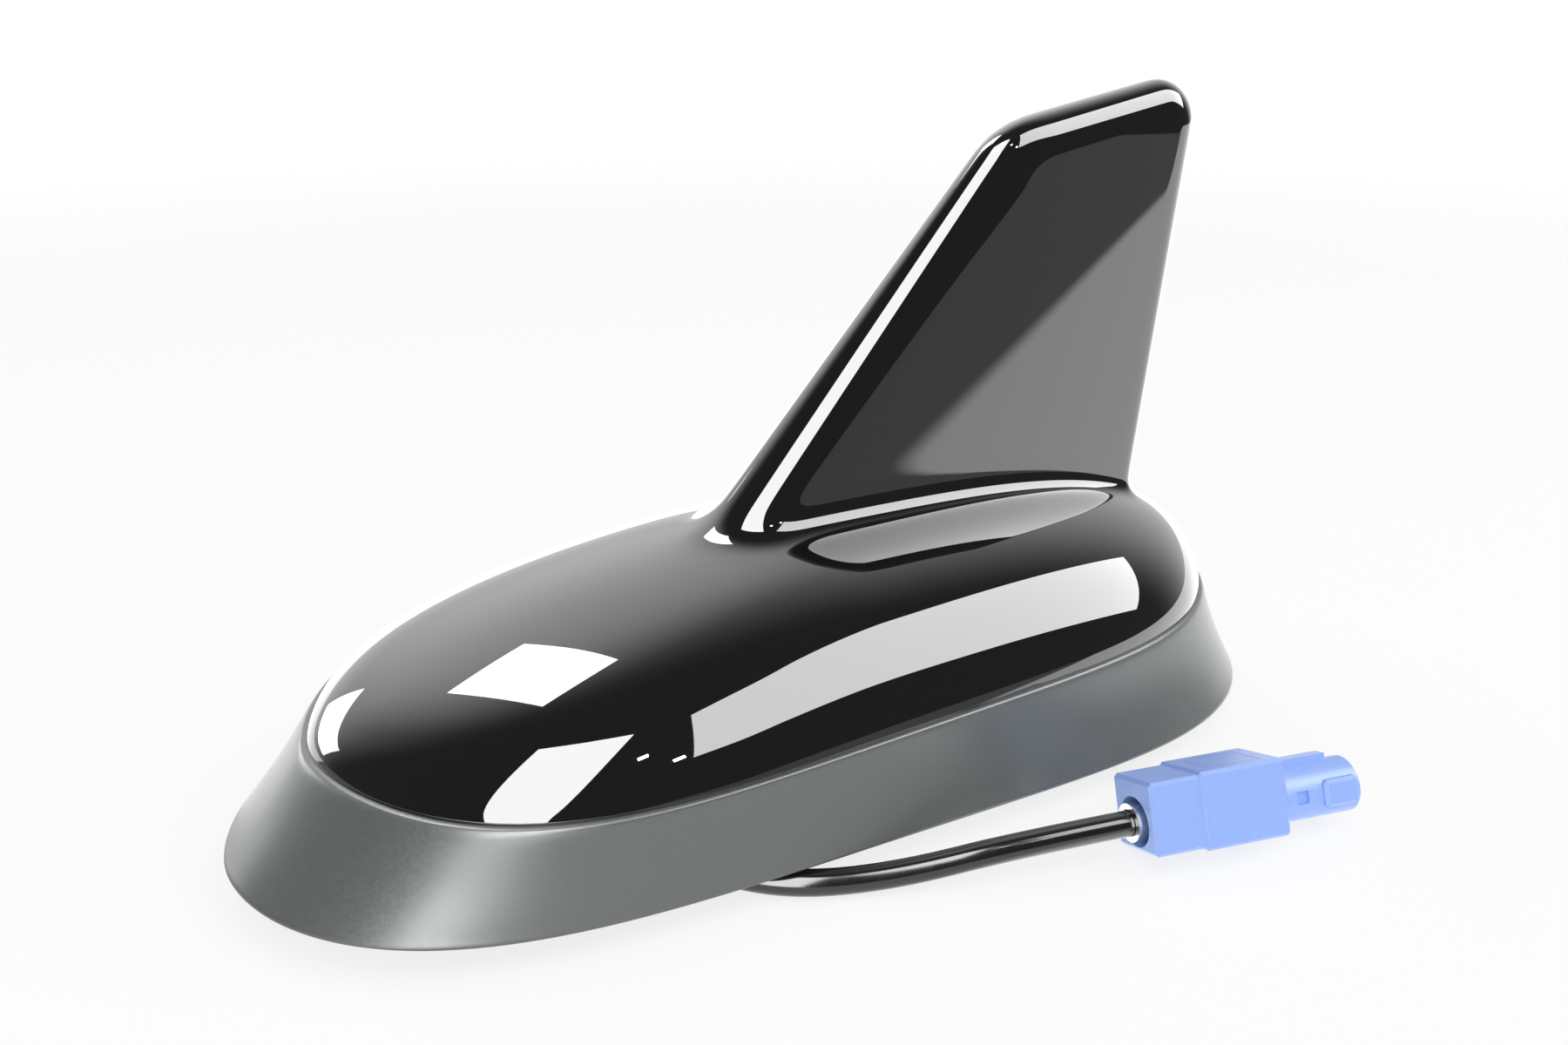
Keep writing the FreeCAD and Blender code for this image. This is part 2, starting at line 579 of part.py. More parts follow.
board_screws = doc.addObject("Part::Compound", "board_screws")
board_screws.Links = small_screws

# Receiver board with its ceramic patch
FEED_X = "(%s + dims.feed_offset)" % PATCH_X
FEED_HOLE = "dims.feed_diameter + 2 * dims.feed_clearance"
gps_board = cut("gps_board",
                box("board_blank", "dims.board_length", "dims.board_width", "dims.board_thickness",
                    BOARD_X, "0", "dims.board_level"),
                at_board_holes("board_hole", "dims.board_screw_diameter + 2 * dims.head_clearance",
                               "dims.board_thickness", "dims.board_level")
                + [cylinder("board_feed", FEED_HOLE, "dims.board_thickness", FEED_X, "0",
                            "dims.board_level")])
patch_tape = cut("patch_tape",
                 box("tape_blank", "dims.tape_side", "dims.tape_side", "dims.tape_thickness",
                     PATCH_X, "0", BOARD_TOP),
                 [cylinder("tape_feed", FEED_HOLE, "dims.tape_thickness", FEED_X, "0", BOARD_TOP)])
patch_antenna = cut("patch_antenna",
                    box("patch_blank", "dims.patch_side", "dims.patch_side", "dims.patch_height",
                        PATCH_X, "0", PATCH_BOTTOM),
                    [cylinder("patch_feed", FEED_HOLE, "dims.patch_height", FEED_X, "0",
                              PATCH_BOTTOM)])
feed_pin = fuse("feed_pin",
                [cylinder("feed_shank", "dims.feed_diameter", "%s - dims.board_level" % PATCH_TOP,
                          FEED_X, "0", "dims.board_level"),
                 cylinder("feed_head", "dims.feed_head_diameter", "dims.feed_head_height",
                          FEED_X, "0", PATCH_TOP)])
CAN_LEVEL = "(dims.board_level - dims.can_height)"
shield_can = cut("shield_can",
                 box("can_blank", "dims.can_length", "dims.can_width", "dims.can_height",
                     CAN_X, "dims.can_y", CAN_LEVEL),
                 [box("can_inside", "dims.can_length - 2 * dims.can_wall",
                      "dims.can_width - 2 * dims.can_wall", "dims.can_height - dims.can_wall",
                      CAN_X, "dims.can_y", "%s + dims.can_wall" % CAN_LEVEL)])
CHIP_PLACES = (-2, -1, 1, 2)
chips = [box("chip_%d" % i, "dims.chip_length", "dims.chip_width", "dims.chip_height",
             CHIP_X, "%d * dims.chip_pitch" % place, BOARD_TOP)
         for i, place in enumerate(CHIP_PLACES)]
chips.append(box("saw_filter", "dims.filter_side", "dims.filter_side", "dims.filter_height",
                 CHIP_X, "0", BOARD_TOP))
amplifier_parts = doc.addObject("Part::Compound", "amplifier_parts")
amplifier_parts.Links = chips

# Grommet and the stub of the lead inside
coax_inside = cylinder("coax_inside", "dims.lead_diameter", "dims.board_level - %s" % LEAD_START,
                       LEAD_X, "dims.lead_y", LEAD_START)
GROMMET_BORE = "dims.lead_diameter + 2 * dims.lead_clearance"
cable_grommet = cut("cable_grommet",
                    fuse("grommet_body",
                         [cylinder("grommet_neck", "dims.grommet_diameter",
                                   "dims.well_wall + dims.grommet_lip", LEAD_X,
                                   "dims.lead_y", ROOF_UNDER),
                          cylinder("grommet_disc", "dims.grommet_flange",
                                   "dims.grommet_flange_height", LEAD_X, "dims.lead_y",
                                   LEAD_START)]),
                    [cylinder("grommet_bore", GROMMET_BORE,
                              "dims.well_wall + dims.grommet_lip + dims.grommet_flange_height",
                              LEAD_X, "dims.lead_y", LEAD_START)])


def rounded_path(points):
    """Straight runs joined by tangent arcs, each arc as large as its runs allow."""
    edges, radii = [], []
    start = points[0]
    for before, here, after in zip(points, points[1:], points[2:]):
        back, ahead = before - here, after - here
        reach = 0.45 * min(back.Length, ahead.Length)
        half_turn = (pi - back.getAngle(ahead)) / 2
        back, ahead = back.normalize(), ahead.normalize()
        enter, leave = here + back * reach, here + ahead * reach
        radius = reach / tan(half_turn)
        inward = (back + ahead).normalize()
        middle = here + inward * (radius / cos(half_turn) - radius)
        edges.append(Part.LineSegment(start, enter).toShape())
        edges.append(Part.Arc(enter, middle, leave).toShape())
        radii.append(radius)
        start = leave
    edges.append(Part.LineSegment(start, points[-1]).toShape())
    return Part.Wire(edges), radii


path, radii = rounded_path(route)
print("lead radii", ["%.1f" % radius for radius in radii], "length %.1f" % path.Length)
ring = Part.Wire([Part.makeCircle(size("lead_diameter") / 2, route[0], route[1] - route[0])])
tube = path.makePipeShell([ring], True, False)
print("lead volume ratio %.4f" % (tube.Volume / (pi * size("lead_diameter") ** 2 / 4 * path.Length)))
coax_lead = solid("coax_lead", tube)

# Plug: each piece is drawn along +X from the plug's rear face, then put at the end of the lead
def at_plug(obj):
    """The plug lies rolled over on one lower edge, held by its stiff lead."""
    heading_turn = FreeCAD.Rotation(Vector(0, 0, 1), size("plug_heading"))
    roll_turn = FreeCAD.Rotation(Vector(1, 0, 0), size("plug_roll"))
    obj.Placement = FreeCAD.Placement(Vector(), heading_turn.multiply(roll_turn))
    return put(obj, "dims.plug_x", "dims.plug_y", "dims.plug_axis_height")


def block(name, length, width, height, start, z):
    """A box along the plug's axis."""
    obj = doc.addObject("Part::Box", name)
    obj.setExpression("Length", length)
    obj.setExpression("Width", width)
    obj.setExpression("Height", height)
    return put(obj, start, "-(%s) / 2" % width, z)


def bevelled(block_obj):
    """A block of the housing with all its edges broken."""
    doc.recompute()
    obj = doc.addObject("Part::Chamfer", block_obj.Name + "_bevelled")
    obj.Base = block_obj
    width = size("plug_bevel")
    obj.Edges = [(i, width, width) for i in range(1, len(block_obj.Shape.Edges) + 1)]
    return obj


NOSE_START = "(dims.plug_rear_length + dims.plug_body_length)"
CAVITY_START = "(%s - dims.plug_front_depth)" % PLUG_LENGTH
LOCK_START = "(dims.plug_rear_length + (dims.plug_body_length - dims.lock_length) / 2)"
LOCK_LEVEL = "(dims.plug_lift + dims.plug_body_height / 2 - dims.lock_depth)"
KEY_HALF = "(dims.plug_nose_diameter / 2 + dims.plug_key_height)"
CATCH_SPAN = "(dims.plug_nose_diameter + 2 * dims.catch_height)"
housing = fuse("housing_body", [
    bevelled(block("housing_rear", "dims.plug_rear_length + dims.plug_edge", "dims.plug_rear_width",
                   "dims.plug_rear_height", "0", "dims.plug_lift - dims.plug_rear_height / 2")),
    bevelled(block("housing_main", "dims.plug_body_length", "dims.plug_body_width",
                   "dims.plug_body_height", "dims.plug_rear_length",
                   "dims.plug_lift - dims.plug_body_height / 2")),
    rod("housing_nose", "dims.plug_nose_diameter", "dims.plug_nose_length + dims.plug_edge",
        "%s - dims.plug_edge" % NOSE_START),
    block("housing_key", "dims.plug_key_length", "dims.plug_key_width", KEY_HALF,
          "%s - dims.plug_edge" % NOSE_START, "0"),
    bevelled(block("housing_catch", "dims.catch_length", CATCH_SPAN, "dims.catch_width",
                   "%s - dims.catch_setback - dims.catch_length" % PLUG_LENGTH,
                   "-dims.catch_width / 2"))])
dimple = box("housing_dimple", "dims.dimple_side", "2 * dims.dimple_depth", "dims.dimple_side",
             "%s + dims.dimple_place" % NOSE_START, "-dims.plug_nose_diameter / 2",
             "-dims.dimple_side / 2")
plug_housing = cut("plug_housing", housing, [
    rod("housing_rear_bore", "dims.plug_rear_bore", "dims.plug_rear_depth"),
    rod("housing_bore", "dims.plug_bore", PLUG_LENGTH),
    rod("housing_cavity", "dims.plug_cavity_diameter", "dims.plug_front_depth", CAVITY_START),
    block("lock_slot", "dims.lock_length", "dims.lock_width", "dims.lock_depth", LOCK_START,
          LOCK_LEVEL), dimple])
lock_bar = block("lock_bar", "dims.lock_length - 2 * dims.lock_clearance",
                 "dims.lock_width - 2 * dims.lock_clearance", "dims.lock_depth",
                 "%s + dims.lock_clearance" % LOCK_START, LOCK_LEVEL)
plug_lock = doc.addObject("Part::Compound", "plug_lock")
plug_lock.Links = [lock_bar]
crimp_ferrule = cut("crimp_ferrule",
                    rod("ferrule_body", "dims.ferrule_diameter", "dims.ferrule_length",
                        "-dims.ferrule_out"),
                    [rod("ferrule_bore", GROMMET_BORE, "dims.ferrule_length", "-dims.ferrule_out")])
SHELL_START = "(dims.ferrule_length - dims.ferrule_out)"
SHELL_BODY = "(dims.shell_length - dims.shell_tip_length)"
plug_shell = cut("plug_shell",
                 fuse("shell_body", [
                     rod("shell_barrel", "dims.plug_bore - 2 * dims.piece_clearance", SHELL_BODY,
                         SHELL_START),
                     rod("shell_tip", "dims.shell_tip_diameter", "dims.shell_tip_length",
                         "%s + %s" % (SHELL_START, SHELL_BODY))]),
                 [rod("shell_bore", "dims.shell_bore", "dims.shell_length", SHELL_START)])
INSULATOR_START = "(%s + dims.insulator_recess)" % SHELL_START
plug_insulator = cut("plug_insulator",
                     rod("insulator_body", "dims.shell_bore - 2 * dims.piece_clearance",
                         "dims.insulator_length", INSULATOR_START),
                     [rod("insulator_bore", "dims.contact_diameter + 2 * dims.piece_clearance",
                          "dims.insulator_length", INSULATOR_START)])
contact_rod = rod("contact_rod", "dims.contact_diameter",
                  "dims.insulator_length + dims.contact_proud + dims.contact_tail",
                  "%s - dims.contact_tail" % INSULATOR_START)
centre_contact = doc.addObject("Part::Compound", "centre_contact")
centre_contact.Links = [contact_rod]
plug_pieces = [at_plug(piece) for piece in (plug_housing, plug_lock, crimp_ferrule, plug_shell,
                                            plug_insulator, centre_contact)]
doc.recompute()

NODES = [cover, skirt, base_plate, seal_gasket, cover_screws, roof_insert, gps_board, patch_tape,
         patch_antenna, feed_pin, shield_can, amplifier_parts, board_screws, coax_inside,
         cable_grommet, coax_lead] + plug_pieces

failed = [obj.Name for obj in doc.Objects if {"Invalid", "Error"} & set(obj.State)]
if failed:
    raise RuntimeError("failed: %s" % ", ".join(failed))
os.makedirs("parts", exist_ok=True)
for obj in NODES:
    if obj.Shape.isNull() or not obj.Shape.isValid():
        raise RuntimeError("bad shape: %s" % obj.Label)
    obj.Shape.exportStep("parts/%s.step" % obj.Label)
    print(obj.Label, len(obj.Shape.Solids), "%.1f" % obj.Shape.Volume)
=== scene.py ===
# %% [markdown]
# # A roof antenna for a car
# The antenna is a gloss black cover with a swept fin, on a satin grey skirt. A short coax
# lead comes out from under the skirt and ends in a light blue plug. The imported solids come
# in as a fixed frame in metres. +Z is up from the roof, and +X points to the rear.

# %% Load the frame
import bmesh
import bpy
from math import atan2, cos, pi, radians, sin, tan
from mathutils import Matrix, Quaternion, Vector


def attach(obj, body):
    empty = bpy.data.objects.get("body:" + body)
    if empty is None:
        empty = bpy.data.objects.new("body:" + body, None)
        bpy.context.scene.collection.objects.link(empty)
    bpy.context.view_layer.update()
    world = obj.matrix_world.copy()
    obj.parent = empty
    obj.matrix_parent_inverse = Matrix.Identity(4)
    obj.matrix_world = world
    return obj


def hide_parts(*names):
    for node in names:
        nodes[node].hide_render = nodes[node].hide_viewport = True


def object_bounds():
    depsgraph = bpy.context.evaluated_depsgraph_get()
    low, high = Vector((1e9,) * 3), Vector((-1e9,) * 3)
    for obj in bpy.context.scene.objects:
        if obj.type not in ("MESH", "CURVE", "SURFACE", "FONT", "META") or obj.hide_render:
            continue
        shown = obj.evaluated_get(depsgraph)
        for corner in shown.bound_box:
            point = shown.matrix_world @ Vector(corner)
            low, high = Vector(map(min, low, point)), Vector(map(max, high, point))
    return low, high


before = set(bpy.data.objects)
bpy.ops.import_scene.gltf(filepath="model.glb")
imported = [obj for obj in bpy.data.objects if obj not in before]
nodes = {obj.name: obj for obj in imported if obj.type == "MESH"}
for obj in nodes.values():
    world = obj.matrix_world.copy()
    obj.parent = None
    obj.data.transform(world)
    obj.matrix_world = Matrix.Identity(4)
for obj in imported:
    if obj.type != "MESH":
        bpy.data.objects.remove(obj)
cad_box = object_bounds()
scene = bpy.context.scene
scene.view_settings.view_transform = "Standard"
MM = 0.001
print("nodes:", len(nodes), "box:", [tuple(round(c / MM, 1) for c in p) for p in cad_box])

# %% [markdown]
# ## Camera
# The photograph was taken close to the object with a wide lens, so near edges spread. The
# camera could be aimed by a constraint, but a place and two directions are easier to match
# to a photograph: they were fitted to points on the rim, the seam and the fin.

# %% Camera
CAMERA_PLACE = Vector((-71.6, -127.2, 89.3)) * MM
CAMERA_RIGHT = Vector((0.87121, -0.49090, 0.0))
CAMERA_UP = Vector((0.18294, 0.32467, 0.92797))
SENSOR_WIDTH, FOCAL_LENGTH = 36.0, 28.65
NEAREST_SEEN = 10 * MM
camera_back = CAMERA_RIGHT.cross(CAMERA_UP)
camera = bpy.data.objects.new("camera", bpy.data.cameras.new("camera"))
camera.data.sensor_width = SENSOR_WIDTH
camera.data.lens = FOCAL_LENGTH
camera.data.clip_start = NEAREST_SEEN
camera.matrix_world = Matrix.Translation(CAMERA_PLACE) @ Matrix(
    (CAMERA_RIGHT, CAMERA_UP, camera_back)).transposed().to_4x4()
scene.collection.objects.link(camera)
scene.camera = camera
print("camera %.0f mm from the antenna" % (CAMERA_PLACE.length / MM))

# %% [markdown]
# ## Colour and nodes
# Paint colours are known as sRGB hex values, but shaders work on linear light. One function
# turns the first to the second. Another adds any node with its settings and its links, so
# that a material reads as a short list of nodes.


# %% Colour and nodes
def linear(hex_colour):
    """Linear RGBA of an sRGB hex colour."""
    channels = [int(hex_colour[i:i + 2], 16) / 255 for i in (1, 3, 5)]
    return [c / 12.92 if c <= 0.04045 else ((c + 0.055) / 1.055) ** 2.4 for c in channels] + [1.0]


def add_node(tree, kind, inputs=None, **settings):
    """Adds a node. An input, by name or place, is a value or another node's output."""
    node = tree.nodes.new(kind)
    for name, value in settings.items():
        setattr(node, name, value)
    for name, value in (inputs or {}).items():
        if isinstance(value, bpy.types.NodeSocket):
            tree.links.new(value, node.inputs[name])
        else:
            node.inputs[name].default_value = value
    return node


def new_material(name):
    """An empty material and its node tree."""
    material = bpy.data.materials.new(name)
    material.use_nodes = True
    material.node_tree.nodes.clear()
    return material, material.node_tree


# The Mix node has a set of sockets for each kind of data, so they are reached by their places
VALUE_A, VALUE_B, VALUE_OUT = 2, 3, 0
COLOUR_A, COLOUR_B, COLOUR_OUT = 6, 7, 2
print("mid grey in linear light: %.3f" % linear("#808080")[0])

# %% [markdown]
# ## Moulded, cast and plated finishes
# Most surfaces here were moulded, cast, rolled or plated, and what shows is a fine grain
# that shifts the colour a little and breaks up the gloss. One noise can drive all three:
# colour, roughness and relief. Its scale comes from the grain's real size, and a stretch
# draws the grain out into the rings of a turned part.

# %% Grain finish
GRAIN_DETAIL = 3.0
# Most of a noise lies between these two values
NOISE_LOW, NOISE_HIGH = 0.3, 0.7


def grain_finish(name, dark, light, grain_mm, rough, bump_mm, sockets, stretch=(1, 1, 1)):
    """A surface whose colour, roughness and relief follow one fine grain."""
    material, tree = new_material(name)
    coords = add_node(tree, "ShaderNodeTexCoord")
    drawn = add_node(tree, "ShaderNodeMapping",
                     {"Vector": coords.outputs["Object"], "Scale": stretch})
    grain = add_node(tree, "ShaderNodeTexNoise",
                     {"Vector": drawn.outputs["Vector"], "Scale": 1 / (grain_mm * MM),
                      "Detail": GRAIN_DETAIL})
    colour = add_node(tree, "ShaderNodeMix",
                      {"Factor": grain.outputs["Fac"], COLOUR_A: linear(dark),
                       COLOUR_B: linear(light)},
                      data_type="RGBA")
    gloss = add_node(tree, "ShaderNodeMapRange",
                     {"Value": grain.outputs["Fac"], "From Min": NOISE_LOW,
                      "From Max": NOISE_HIGH, "To Min": rough[0], "To Max": rough[1]})
    relief = add_node(tree, "ShaderNodeBump",
                      {"Height": grain.outputs["Fac"], "Distance": bump_mm * MM, "Strength": 1.0})
    shader = add_node(tree, "ShaderNodeBsdfPrincipled",
                      {"Base Color": colour.outputs[COLOUR_OUT],
                       "Roughness": gloss.outputs["Result"],
                       "Normal": relief.outputs["Normal"], **sockets})
    add_node(tree, "ShaderNodeOutputMaterial", {"Surface": shader.outputs["BSDF"]})
    return material


# ABS from a polished mould, lacquered: deep black that mirrors the lamps with sharp edges
gloss_abs = grain_finish("lacquered_black_abs", "#070808", "#0a0b0b", 1.6, (0.014, 0.022), 0.0003,
                         {"IOR": 1.55, "Coat Weight": 1.0, "Coat IOR": 1.55, "Coat Roughness": 0.01})
# Soft-touch rubber-filled plastic: a mid grey with a silky, spread-out highlight
satin_skirt = grain_finish("satin_grey_elastomer", "#505453", "#585c5b", 0.4, (0.29, 0.36), 0.0012,
                           {"Specular IOR Level": 1.0})
# PVC pressed through a round die: black with a wet-looking line of light along the top
cable_jacket = grain_finish("extruded_pvc_jacket", "#101011", "#161617", 0.8, (0.13, 0.17), 0.001,
                            {"IOR": 1.53, "Specular IOR Level": 0.8})
print("finishes so far:", len(bpy.data.materials))

# %% [markdown]
# ## Foam
# The seal and the tape are cut from foam sheet, and a cut face shows open cells. Noise would
# look like sand. Voronoi cells have the right round hollows, so the distance to each cell's
# middle gives the relief, and a painted shade darkens the bottoms of the pores.

# %% Foam finish
PORE_ROUGH, SKIN_ROUGH = 0.95, 0.8


def foam_finish(name, dark, light, cell_mm, depth_mm):
    """A dull surface with round open cells, and painted shade in the bottoms of its pores."""
    material, tree = new_material(name)
    coords = add_node(tree, "ShaderNodeTexCoord")
    cells = add_node(tree, "ShaderNodeTexVoronoi",
                     {"Vector": coords.outputs["Object"], "Scale": 1 / (cell_mm * MM)})
    # Painted shade: the colour darkens towards each cell's middle, the bottom of a pore.
    colour = add_node(tree, "ShaderNodeMix",
                      {"Factor": cells.outputs["Distance"], COLOUR_A: linear(dark),
                       COLOUR_B: linear(light)},
                      data_type="RGBA")
    dull = add_node(tree, "ShaderNodeMapRange",
                    {"Value": cells.outputs["Distance"], "To Min": PORE_ROUGH, "To Max": SKIN_ROUGH})
    relief = add_node(tree, "ShaderNodeBump",
                      {"Height": cells.outputs["Distance"], "Distance": depth_mm * MM})
    shader = add_node(tree, "ShaderNodeBsdfPrincipled",
                      {"Base Color": colour.outputs[COLOUR_OUT],
                       "Roughness": dull.outputs["Result"], "Normal": relief.outputs["Normal"]})
    add_node(tree, "ShaderNodeOutputMaterial", {"Surface": shader.outputs["BSDF"]})
    return material


def wear(material, *users):
    """Gives CAD nodes a finish."""
    for user in users:
        nodes[user].data.materials.clear()
        nodes[user].data.materials.append(material)
    print(material.name, "on", ", ".join(users))


# Closed-cell rubber foam: black and matt, with pores that show on the cut edge
wear(foam_finish("epdm_foam_seal", "#0c0c0c", "#1e1e1e", 0.7, 0.15), "seal_gasket")
# Acrylic foam tape: off-white and dull, with much finer cells
wear(foam_finish("acrylic_foam_tape", "#bdbbb2", "#dddbd2", 0.4, 0.05), "patch_tape")

# %% [markdown]
# ## Metals
# A metal keeps the default IOR, and its colour is the colour of its reflection. The cast
# plate is blotchy and half dull from the mould's skin. The screws and the ferrule are plated,
# so they are brighter and smoother. The turned insert keeps fine rings from the lathe, which
# come from a grain that is drawn out flat, so that it changes mostly along Z.

# %% Metals
METAL = {"Metallic": 1.0}
RINGS = (0.04, 0.04, 1)
# Pressure-cast aluminium: pale grey, with cloudy dull and bright patches
wear(grain_finish("cast_aluminium", "#8a8c8e", "#a8aaac", 1.8, (0.36, 0.56), 0.03, METAL), "base_plate")
# Zinc plating over steel: cool grey with a soft sparkle
zinc = grain_finish("zinc_plated_steel", "#8d9096", "#b0b4ba", 0.4, (0.25, 0.4), 0.004, METAL)
wear(zinc, "board_screws")
# Brass from the lathe: warm yellow with fine rings, drawn coarser than life to show
brass = grain_finish("turned_brass", "#a98543", "#cdaa62", 0.3, (0.2, 0.34), 0.01, METAL, RINGS)
# Hot-dipped tin on thin sheet and pins: white metal with faint clouds
wear(grain_finish("tinplate", "#b4b5b6", "#cfd0d1", 1.5, (0.22, 0.36), 0.004, METAL),
     "feed_pin", "shield_can")
# Nickel over brass: a slightly warm mirror, which gives the white glint in the plug's rear
wear(grain_finish("nickel_plate", "#c8c6c0", "#dcdad4", 0.5, (0.1, 0.18), 0.002, METAL),
     "crimp_ferrule", "plug_shell")
# Gold flash on the contact: deep yellow, smooth
wear(grain_finish("gold_flash", "#c99a3c", "#e0b558", 0.5, (0.16, 0.26), 0.002, METAL),
     "centre_contact")

# %% [markdown]
# ## Plastics, ceramic and board
# The plug is a moulded plastic with a matt, slightly milky skin. The board's green lacquer,
# the fired ceramic and the chips hardly show, but they are true when the cover comes off.

# %% Plastics, ceramic and board
# Glass-filled nylon from a textured mould: light signal blue, matt, with soft edges of light
blue_nylon = grain_finish("moulded_blue_nylon", "#89a8ec", "#95b2f3", 0.5, (0.34, 0.46), 0.006,
                          {"IOR": 1.53})
wear(blue_nylon, "plug_housing", "plug_lock")
# PTFE rod: a white that looks slightly waxy
wear(grain_finish("white_ptfe", "#dadad4", "#e9e9e3", 0.8, (0.36, 0.48), 0.004, {"IOR": 1.38}),
     "plug_insulator")
# Solder mask over glass cloth: green lacquer with the cloth's faint weave-sized mottling
wear(grain_finish("green_solder_mask", "#0f4a2a", "#17603a", 1.2, (0.28, 0.42), 0.01, {}), "gps_board")
# Fired ceramic: cream, dense and dull with a fine tooth
wear(grain_finish("fired_ceramic", "#c4b9a2", "#d6ccb6", 0.5, (0.4, 0.55), 0.008, {}), "patch_antenna")
# Epoxy chip packages: near black, matt from the mould's spark finish
wear(grain_finish("moulded_epoxy", "#141414", "#202020", 0.3, (0.5, 0.62), 0.01, {}), "amplifier_parts")
# Rubber grommet: black and dull
wear(grain_finish("moulded_rubber", "#0e0e0e", "#1a1a1a", 0.5, (0.55, 0.7), 0.01, {}), "cable_grommet")
wear(cable_jacket, "coax_inside")

# %% [markdown]
# ## The lead
# The coax is short and stiff for its size. It drops out of the grommet, runs through the
# channel in the seal and out under the skirt in one easy bend, and rises a little to the plug.
# A mesh tube would need many rings. A NURBS curve with the route's points as its control
# points bends as evenly as the real cable, and its bevel gives the round section.

# %% Lead
LEAD_ROUTE = [(-30.0, -9.0, 9.4), (-30.0, -9.0, 5.2), (-28.4, -12.4, 1.7), (-24.4, -20.4, 1.7),
              (-17.5, -29.6, 1.7), (-5.8, -34.4, 1.7), (9.02, -40.34, 4.9), (28.13, -44.72, 4.9)]
LEAD_DIAMETER = 3.0 * MM
curve = bpy.data.curves.new("coax_cord", "CURVE")
curve.dimensions = "3D"
spline = curve.splines.new("NURBS")
spline.points.add(len(LEAD_ROUTE) - 1)
for point, place in zip(spline.points, LEAD_ROUTE):
    point.co = (*(c * MM for c in place), 1.0)
spline.order_u = 3
spline.use_endpoint_u = True
spline.resolution_u = 12
curve.bevel_depth = LEAD_DIAMETER / 2
curve.bevel_resolution = 6
curve.use_fill_caps = True
lead = bpy.data.objects.new("coax_cord", curve)
scene.collection.objects.link(lead)
curve.materials.append(cable_jacket)
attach(lead, "root")
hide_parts("coax_lead")

# %% [markdown]
# ## Pieces from a bmesh
# Every mesh made below is finished in the same way: it becomes an object at the origin, is
# shaded smooth, and the CAD node it stands for is hidden. Doing that in one function keeps
# the modelling cells short.


# %% Finishing a piece
def make_piece(name, bm, material, replaced):
    """Turns a bmesh into a smooth piece that stands for a CAD node."""
    mesh = bpy.data.meshes.new(name)
    bm.to_mesh(mesh)
    bm.free()
    mesh.polygons.foreach_set("use_smooth", [True] * len(mesh.polygons))
    piece = bpy.data.objects.new(name, mesh)
    scene.collection.objects.link(piece)
    piece.data.materials.append(material)
    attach(piece, "root")
    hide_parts(replaced)
    print(name, len(mesh.vertices), "vertices", len(mesh.polygons), "faces")
    return piece


def subdivide(piece, levels):
    """Smooths a piece by a live subdivision surface."""
    smooth = piece.modifiers.new("smooth", "SUBSURF")
    smooth.levels = smooth.render_levels = levels
    print(piece.name, "subdivided", levels, "times")


# %% [markdown]
# ## Plan outlines
# Seen from above, the skirt's rim and the seam under the cover are both long ovals with
# blunt ends. A Bezier outline would need many handles. Besides its size, a super-ellipse needs
# three numbers: one power fills out its sides, one blunts its ends, and a taper widens one end.


# %% Plan outlines
class Outline:
    """Super-ellipse in plan, in millimetres, with its nose at -x."""

    def __init__(self, half_length, half_width, centre, fullness, bluntness, taper):
        self.values = (half_length, half_width, centre, fullness, bluntness, taper)

    def half_width(self, x):
        half_length, half_width, centre, fullness, bluntness, taper = self.values
        share = max(-1.0, min(1.0, (x - centre) / half_length))
        return half_width * (1 - abs(share) ** fullness) ** (1 / bluntness) * (1 + taper * share)

    def at(self, turn):
        """A point at a turn round the outline: 0 at the nose, pi at the rear."""
        half_length, _, centre = self.values[:3]
        x = centre - half_length * cos(turn)
        return x, self.half_width(x) * (1 if sin(turn) >= 0 else -1)

    def inset(self, distance):
        return Outline(self.values[0] - distance, self.values[1] - distance, *self.values[2:])

    def towards(self, other, share):
        return Outline(*(a + (b - a) * share for a, b in zip(self.values, other.values)))


RIM_LEVEL, SEAM_LEVEL = 3.6, 15.5
rim = Outline(half_length=70.0, half_width=31.8, centre=0.0,
              fullness=4.34, bluntness=1.83, taper=0.09)
seam = Outline(half_length=63.3, half_width=28.6, centre=3.5,
               fullness=4.5, bluntness=1.55, taper=-0.09)
print("rim %.1f mm wide, seam %.1f mm wide" % (2 * rim.half_width(0), 2 * seam.half_width(0)))

# %% [markdown]
# ## Cover: the dome
# The cover is one moulding, a low dome that carries a fin. The dome rises from the seam to a
# crown and falls off faster towards the rear. Sculpting would leave ripples in the mirror
# finish, so its height is a formula: one falloff along it times one falloff across it.

# %% Dome
CROWN_RISE = 16.6
FRONT_CROWN, REAR_CROWN, SECTION = (1.5, 1.6), (3.3, 1.89), (2.14, 1.52)
TINY = 1e-6


def falloff(share, powers):
    """1 in the middle, falling to 0 at the border in a super-ellipse's curve."""
    return (1 - min(1.0, share) ** powers[0]) ** (1 / powers[1])


def dome_height(x, y):
    """Level of the dome's skin, crowned at x = 0 and along y = 0."""
    nose, tail = seam.at(0)[0], seam.at(pi)[0]
    ridge = falloff(x / nose, FRONT_CROWN) if x < 0 else falloff(x / tail, REAR_CROWN)
    half = seam.half_width(x)
    section = falloff(abs(y) / half, SECTION) if half > TINY else 0.0
    return SEAM_LEVEL + CROWN_RISE * ridge * section


print("crown at %.1f mm" % dome_height(0, 0))

# %% [markdown]
# ## Cover: the fin
# In side view the fin is three straight lines: a long raked front, a short rising top and a
# nearly upright back. Its faces lean together towards the top, and a rounded edge runs up the
# front, along the top and down the back. Corner points joined up would give the lines too. A
# point and a direction also give a parallel line, and so any strip of the rounded edge.

# %% Fin edges
ROOT_LEVEL, SHOULDER_LEVEL = 32.1, 78.7
ROOT_HALF, TOP_HALF = 5.4, 3.7


